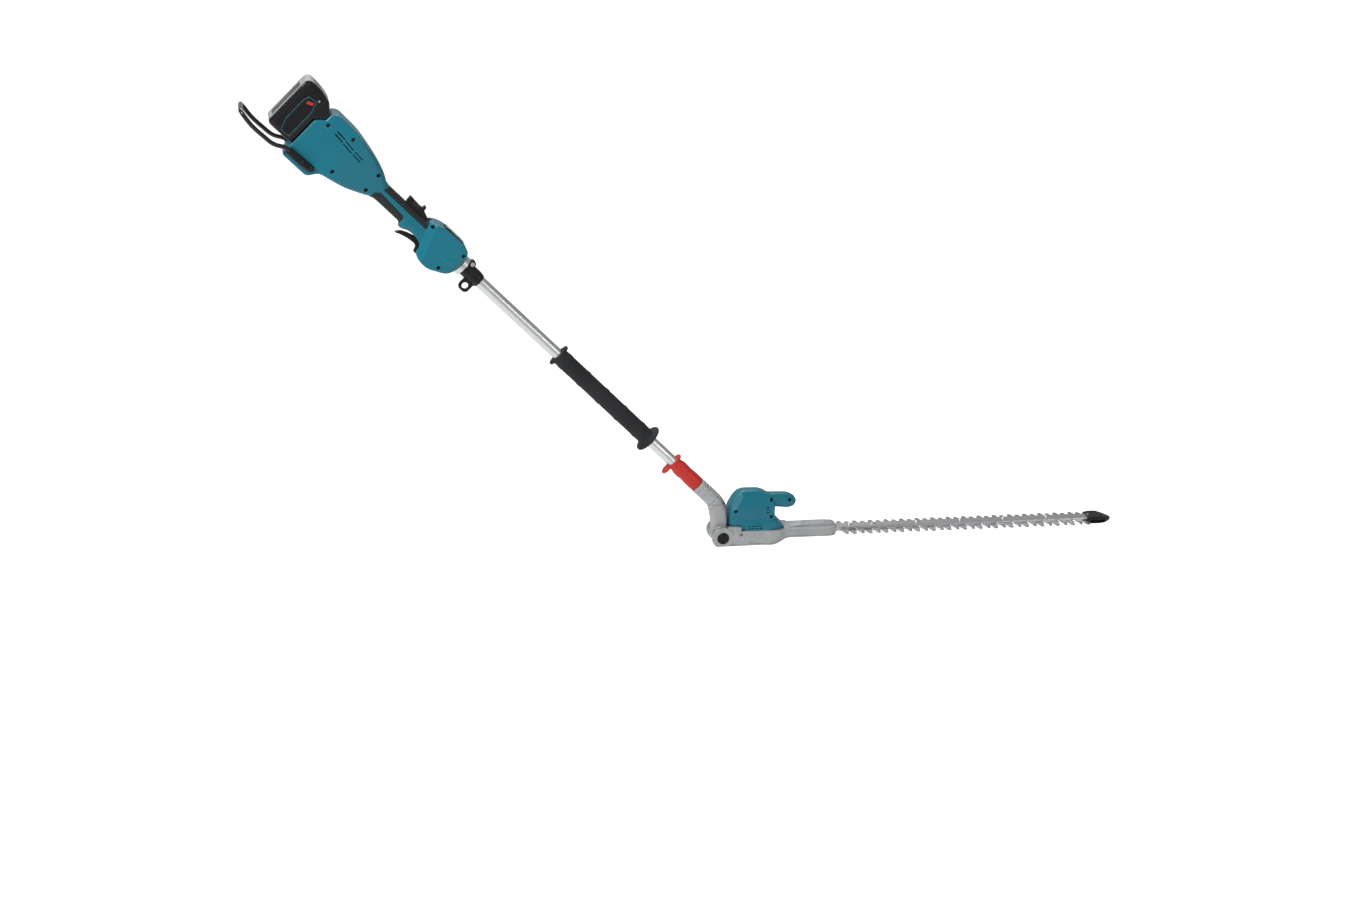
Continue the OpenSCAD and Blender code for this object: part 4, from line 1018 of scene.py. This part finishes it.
TRIGGER_SIDE = eased([
    (-1002, -45, 1.2), (-989, -39.5, 6), (-973, -35.5, 6), (-957, -34, 6), (-949, -37, 5), (-946, -47.5, 2),
    (-938.5, -48, 3), (-933, -36, 5), (-924, -16, 4), (-927, -9, 3), (-934, -8, 3), (-948, -14, 5),
    (-965, -23, 6), (-982, -28, 6), (-996, -35, 5),
])
LEVER_SIDE = eased([
    (-1029, 18, 2), (-1020, 12.2, 3), (-975, 9.2, 1), (-969, 9.2, 2), (-966, 14, 2), (-966, 20, 3),
    (-988.5, 29, 2), (-989.5, 37, 1.5), (-994, 38, 1.5), (-996.5, 30.3, 2), (-1014, 31.5, 3),
    (-1030, 32.5, 1.5),
])


def trigger(g):
    body = both(g.side(TRIGGER_SIDE), np.abs(g.y) - 6.9, 2.4)
    return less(body, g.rod(TRIGGER_PIN, PIN_R))


def lever(g):
    y = np.abs(g.y)
    body = both(g.side(LEVER_SIDE), y - 6.9, 1.4)
    for k in range(4):
        body = groove(body, both(np.abs(g.x + 1004 + 4.2 * k) - 0.5, 24 - g.z), 1.0, 0.7)
    # slots under the rear end, one near each side
    body = less(body, both(both(g.box(x=(-1035, -980)), g.z - 16), between(y, 4.4, 7.6)))
    return less(body, g.rod(LEVER_PIN, PIN_R))


def panel_frame(g):
    side = eased([(-936, 31.3), (-884, 31.3), (-884, 36, 2), (-888, 37.6, 3), (-932, 37.6, 3), (-936, 36, 2)])
    body = both(g.side(side), np.abs(g.y) - 15, 1.0)
    body = less(body, both(g.box((-933, -887), (-12, 12)), 36.7 - g.z), 0.3)
    # wells of the two buttons, deep enough for their travel
    for x, r in ((-925, 5.5), (-903, 4.5)):
        body = less(body, both(g.post(x, 0, r), 32.4 - g.z))
    return body


def membrane(g):
    body = both(g.box((-932.8, -887.2), (-11.8, 11.8)), g.box(z=(36.75, 37.35)), 0.2)
    for x, r in ((-925, 5.6), (-903, 4.6)):
        body = less(body, g.post(x, 0, r), 0.1)
    return body


moulded(
    "trigger_lever", POLE, (-1005, -9, -51), (-921, 9, -5), 0.7, trigger,
    "trigger", "black_plastic", "trigger",
)
moulded(
    "lock_off_thumb_lever", POLE, (-1033, -9, 6), (-963, 9, 41), 0.6, lever,
    "lock_off", "black_plastic", "lock_off_lever",
)
moulded(
    "switch_panel_frame", POLE, (-938, -17, 29), (-882, 17, 40), 0.55, panel_frame,
    "root", "black_plastic", "control_panel",
)
moulded(
    "switch_panel_membrane", POLE, (-935, -14, 35), (-885, 14, 39), 0.35, membrane,
    "root", "grey_plastic",
)


# ---------- front of the pole ----------

EYE = eased([
    (-829.5, -9), (-829.5, -34, 6), (-824, -39.5, 6), (-810, -39.5, 6), (-804.5, -34, 6), (-804.5, -9),
])
CLAMP_SCREW = (-839, 17)


def clamp(g):
    y = np.abs(g.y)
    r = np.hypot(g.y, g.z)
    barrel = both(r - np.interp(g.x, [-846, -812, -803], [16.6, 16.4, 14.8]), g.box((-846, -801)), 2.0)
    barrel = raised(barrel, g.box(x=(-838, -808), z=(-12, 12)), 0.8, 1.5)
    ear = both(g.rod(CLAMP_SCREW, 7.4), y - 9, 1.2)
    foot = both(g.box(x=(-846, -830), z=(6, 17)), y - 9, 1.5)
    eye = both(g.side(EYE), y - 4.0, 1.3)
    body = either(either(either(barrel, ear, 1), foot, 2), eye, 2.5)
    body = less(body, g.bore(0.05))
    body = less(body, both(y - 1.0, -g.z), 0.4)
    body = groove(body, both(g.z - 1.5, -1.0) + 40 * (y < 8), 1.2, 1.0)
    body = less(body, g.rod(CLAMP_SCREW, 2.7))
    body = less(body, both(g.rod(CLAMP_SCREW, 5.3), 9 - y), 0.3)
    return less(body, g.rod((-817, -27), 7.0), 1.2)


def grip_profile():
    """Half section of the front grip: ribs along it, and the hand stop at its front end."""
    points = [(-567, 18.2), (-560, 18.6)]
    for k in range(5):
        start = -552 + 57 * k
        points += [(start, 18.6), (start + 6, 19.4), (start + 12, 19.5), (start + 13.5, 18.7)]
    points += [(-303, 18.6), (-295, 19.0), (-290.5, 20.4), (-288.4, 23), (-287.4, 30.4), (-286, 31.8)]
    points += [(-284, 32), (-282.5, 31), (-281, 24), (-280, 20), (-280, 10), (-567, 10)]
    return np.array(points, float)


def grip(g):
    body = outline(grip_profile(), g.x, np.hypot(g.y, g.z))
    ears = both(bar(g.y, g.z, (0, -17.5), (0, 17.5), 8.5), g.box((-567.5, -560.5)), 2.6)
    body = either(body, ears, 2.5)
    # shallow channels along the top and the underside
    body = groove(body, both(np.abs(g.y) - 1.2, g.x + 300), 0.0, 0.7)
    return less(body, g.bore(0.05))


SLEEVE_PROFILE = eased([
    (-205, 14.8), (-200, 15.0, 2), (-192, 15.2, 3), (-184, 17.6, 5), (-172, 17.4, 4), (-163, 16.4, 4),
    (-154, 17.2, 4), (-140, 17.6, 4), (-130, 17.5, 2), (-126, 16.6, 1.5), (-126, 8), (-205, 8),
])


def sleeve(g):
    r = np.hypot(g.y, g.z)
    body = outline(SLEEVE_PROFILE, g.x, r)
    ears = both(bar(g.y, g.z, (0, -21), (0, 9.5), 12.8), g.box((-205.5, -200.3)), 1.8)
    body = either(body, ears, 3)
    body = less(body, g.bore(0.1))
    body = less(body, both(g.box(y=(-4.05, 4.05), z=(-15.9, 0)), -150.2 - g.x))
    return less(body, both(r - 15.3, g.box((-180, -152))))


moulded(
    "hanger_clamp_body", POLE, (-849, -20, -43), (-798, 20, 27), 0.7, clamp,
    "root", "black_plastic", "hanger_clamp",
)
moulded(
    "front_grip_sleeve", POLE, (-570, -35, -35), (-277, 35, 35), 1.1, grip,
    "root", "soft_rubber", "front_grip",
)
moulded(
    "lock_sleeve_body", POLE, (-208, -20, -37), (-123, 20, 25), 0.75, sleeve,
    "lock", "red_plastic", "lock_sleeve",
)


# ---------- blades ----------

PITCH = 37.5
FIRST_TOOTH = 285
TEETH = 16
STRIP_HALF = 12.0
TIP_HALF = 38.0
BAR_BOLTS = [302, 357, 462, 567, 672, 777, 878]
SLOT_R = 3.4
BOLT_HOLE_R = 3.05
ECCENTRIC_R = 5.1
YOKE_PLAY = 2.3


def arc(centre, r, start, end, steps=10):
    angles = np.radians(np.linspace(start, end, steps))
    return [(centre[0] + r * math.cos(a), centre[1] + r * math.sin(a)) for a in angles]


def ends(centre, r, join):
    """Round ends of a yoke across the blade, from a centre on one side and its mirror."""
    x, y = centre
    return arc((x, y), r, join, 180, 14) + arc((x, -y), r, 180, 360 - join, 14)


def tooth_edge(x0, side, bevel):
    """Teeth along one edge of a blade. The bevel draws their flanks in."""
    points = []
    flank = [
        (11 - bevel, STRIP_HALF), (4.6 - bevel, TIP_HALF - 2 - bevel), (3.2 - bevel * 0.9, TIP_HALF - bevel),
    ]
    for i in range(TEETH):
        x = x0 + PITCH * i
        points += [(x - off, side * reach) for off, reach in flank]
        points += [(x + off, side * reach) for off, reach in reversed(flank)]
    return points


def blade_loop(x0, yoke_x, yoke_r, yoke_reach, notch, bevel):
    """Outline of a blade: two rows of teeth, the far end with its open slot, and the yoke's outside."""
    end = x0 + PITCH * (TEETH - 1) + 14
    outer = yoke_r + 4.5
    join = math.degrees(math.asin((STRIP_HALF - yoke_reach) / outer))
    low = tooth_edge(x0, -1, bevel)
    high = tooth_edge(x0, 1, bevel)[::-1]
    yoke = ends((yoke_x, yoke_reach), outer, join)
    # the slot of the last bolt runs out at the end
    tail = [(end, -STRIP_HALF), (end, -SLOT_R)] + arc((notch, 0), SLOT_R, 270, 90, 8)
    tail += [(end, SLOT_R), (end, STRIP_HALF)]
    return low + tail + high + yoke


def build_blades():
    throw = PITCH / 4
    yoke_r = throw + ECCENTRIC_R + YOKE_PLAY
    yoke_reach = 2 * throw + ECCENTRIC_R + 0.3 - yoke_r
    for name, x0, lean in (("upper_blade", FIRST_TOOTH, -1), ("lower_blade", FIRST_TOOTH + PITCH / 2, 1)):
        low, high = ROW.span(name)
        yoke_x = CRANK_X + lean * throw
        travel = -lean * 2 * throw
        holes = [ends((yoke_x, yoke_reach), yoke_r, 0)]
        notch = min(BAR_BOLTS[-1], BAR_BOLTS[-1] - travel)
        for x in BAR_BOLTS[:-1] + BAR_ANCHORS:
            a, b = sorted((x, x - travel))
            holes.append(arc((b, 0), SLOT_R, -90, 90, 8) + arc((a, 0), SLOT_R, 90, 270, 8))
        full = blade_loop(x0, yoke_x, yoke_r, yoke_reach, notch, 0)
        ground = blade_loop(x0, yoke_x, yoke_r, yoke_reach, notch, 1.7)
        z0, z1 = low[2], high[2]
        if lean < 0:
            levels = [(z0, full), (z0 + 0.5, full), (z1, ground)]
        else:
            levels = [(z0, ground), (z1 - 0.5, full), (z1, full)]
        plate(name + "_ground", levels, holes, name, "tool_steel", name)
    low, high = ROW.span("guide_bar")
    half = high[1]
    inset = 1.2
    sharp, drawn_in = (
        [(low[0] + d, d - half), (high[0] - d, d - half), (high[0] - d, half - d), (low[0] + d, half - d)]
        for d in (0, inset)
    )
    levels = [(low[2], sharp), (high[2] - inset, sharp), (high[2], drawn_in)]
    holes = [arc((x, 0), BOLT_HOLE_R, 0, 345, 24) for x in BAR_BOLTS + BAR_ANCHORS]
    plate("guide_bar_rail", levels, holes, "head", "plated_steel", "guide_bar")


def tip_guard(g):
    low, high = ROW.span("tip_guard")
    plan = eased(mirrored([(low[0], 20, 3), (899, 22, 8), (919, 16.5, 10), (933, 6, 5)]))
    top = np.interp(g.x, [low[0], 884, 905, 934], [high[2] - 2.2, high[2], high[2] - 0.5, 23.5])
    floor = np.interp(g.x, [low[0], 915, 934], [low[2], low[2], 18.5])
    body = both(g.plan(plan), np.maximum(g.z - top, floor - g.z), 2.2)
    body = less(body, both(g.box(y=(-60, 60), z=(18.5, 23.5)), g.x - 915.2), 0.3)
    body = less(body, both(g.box(y=(-12.6, 12.6), z=(22.4, 28.6)), g.x - 907.2), 0.3)
    body = less(body, g.post(BAR_BOLTS[-1], 0, BOLT_HOLE_R))
    return less(body, g.post(905, 13, 3.0), 0.6)


low, high = ROW.span("tip_guard")
moulded(
    "tip_guard_block", ROW, tuple(low - 2), tuple(high + 2), 0.65, tip_guard,
    "head", "black_plastic", "tip_guard",
)


# ---------- scene ----------

FLOOR_Z = -1.02
FLOOR_REACH = 40.0


def build_stage():
    mesh = bpy.data.meshes.new("floor")
    corners = [(x * FLOOR_REACH, y * FLOOR_REACH, 0) for x, y in ((-1, -1), (1, -1), (1, 1), (-1, 1))]
    mesh.from_pydata(corners, [], [(0, 1, 2, 3)])
    floor = bpy.data.objects.new("floor", mesh)
    floor.location = (0, 0, FLOOR_Z)
    bpy.context.scene.collection.objects.link(floor)
    made = bpy.data.materials.new("pale_floor")
    made.use_nodes = True
    tree = made.node_tree
    seen = node(tree, "ShaderNodeLightPath").outputs["Is Camera Ray"]
    wired(tree, tree.nodes["Principled BSDF"], Roughness=0.9, **{
        "Base Color": (0.9, 0.9, 0.9, 1), "Emission Color": (1, 1, 1, 1),
        "Emission Strength": spread(tree, seen, 0.15, 0.8),
    })
    mesh.materials.append(made)


def area_light(name, spot, aim, size, power):
    data = bpy.data.lights.new(name, "AREA")
    data.shape = "RECTANGLE"
    data.size, data.size_y = size
    data.energy = power
    obj = bpy.data.objects.new(name, data)
    obj.location = spot
    obj.rotation_euler = (Vector(aim) - Vector(spot)).to_track_quat("-Z", "Y").to_euler()
    bpy.context.scene.collection.objects.link(obj)


def build_lights():
    world = bpy.data.worlds.new("studio")
    world.use_nodes = True
    # white where the camera looks past the tool, softer as a light on it
    tree = world.node_tree
    seen = node(tree, "ShaderNodeLightPath").outputs["Is Camera Ray"]
    wired(tree, tree.nodes["Background"], Color=(1, 1, 1, 1), Strength=spread(tree, seen, 0.34, 1.0))
    bpy.context.scene.world = world
    area_light("key", (-2.7, -1.9, 3.3), (-0.2, 0, 0.3), (1.5, 1.0), 150)
    area_light("fill", (2.6, -3.0, 1.2), (0.2, 0, 0.2), (1.6, 1.6), 22)
    area_light("back", (-0.3, 2.6, 3.0), (0, 0, 0.2), (3.0, 1.2), 60)
    bpy.context.scene.view_settings.view_transform = "Standard"


# The view: camera offset from the hinge in metres, heading and drop in degrees, small lean
CAMERA_OFFSET = (-1.0233, -4.0116, 1.6986)
CAMERA_HEADING = 12.8
CAMERA_DROP = 20.0
CAMERA_LEAN = 2.67
CAMERA_LENS = 53.33


def build_camera():
    heading, drop, lean = (math.radians(a) for a in (CAMERA_HEADING, CAMERA_DROP, CAMERA_LEAN))
    view = Vector((math.sin(heading) * math.cos(drop), math.cos(heading) * math.cos(drop), -math.sin(drop)))
    right = Vector((math.cos(heading), -math.sin(heading), 0))
    up = right.cross(view)
    right, up = (right * math.cos(lean) + up * math.sin(lean), up * math.cos(lean) - right * math.sin(lean))
    data = bpy.data.cameras.new("camera")
    data.sensor_width = 36.0
    data.lens = CAMERA_LENS
    data.clip_end = 200
    camera = bpy.data.objects.new("camera", data)
    turn = Matrix((right, up, -view)).transposed().to_4x4()
    camera.matrix_world = Matrix.Translation(Vector(HINGE * MM) + Vector(CAMERA_OFFSET)) @ turn
    bpy.context.scene.collection.objects.link(camera)
    bpy.context.scene.camera = camera


build_guard()
build_battery()
build_blades()
build_stage()
build_lights()
build_camera()
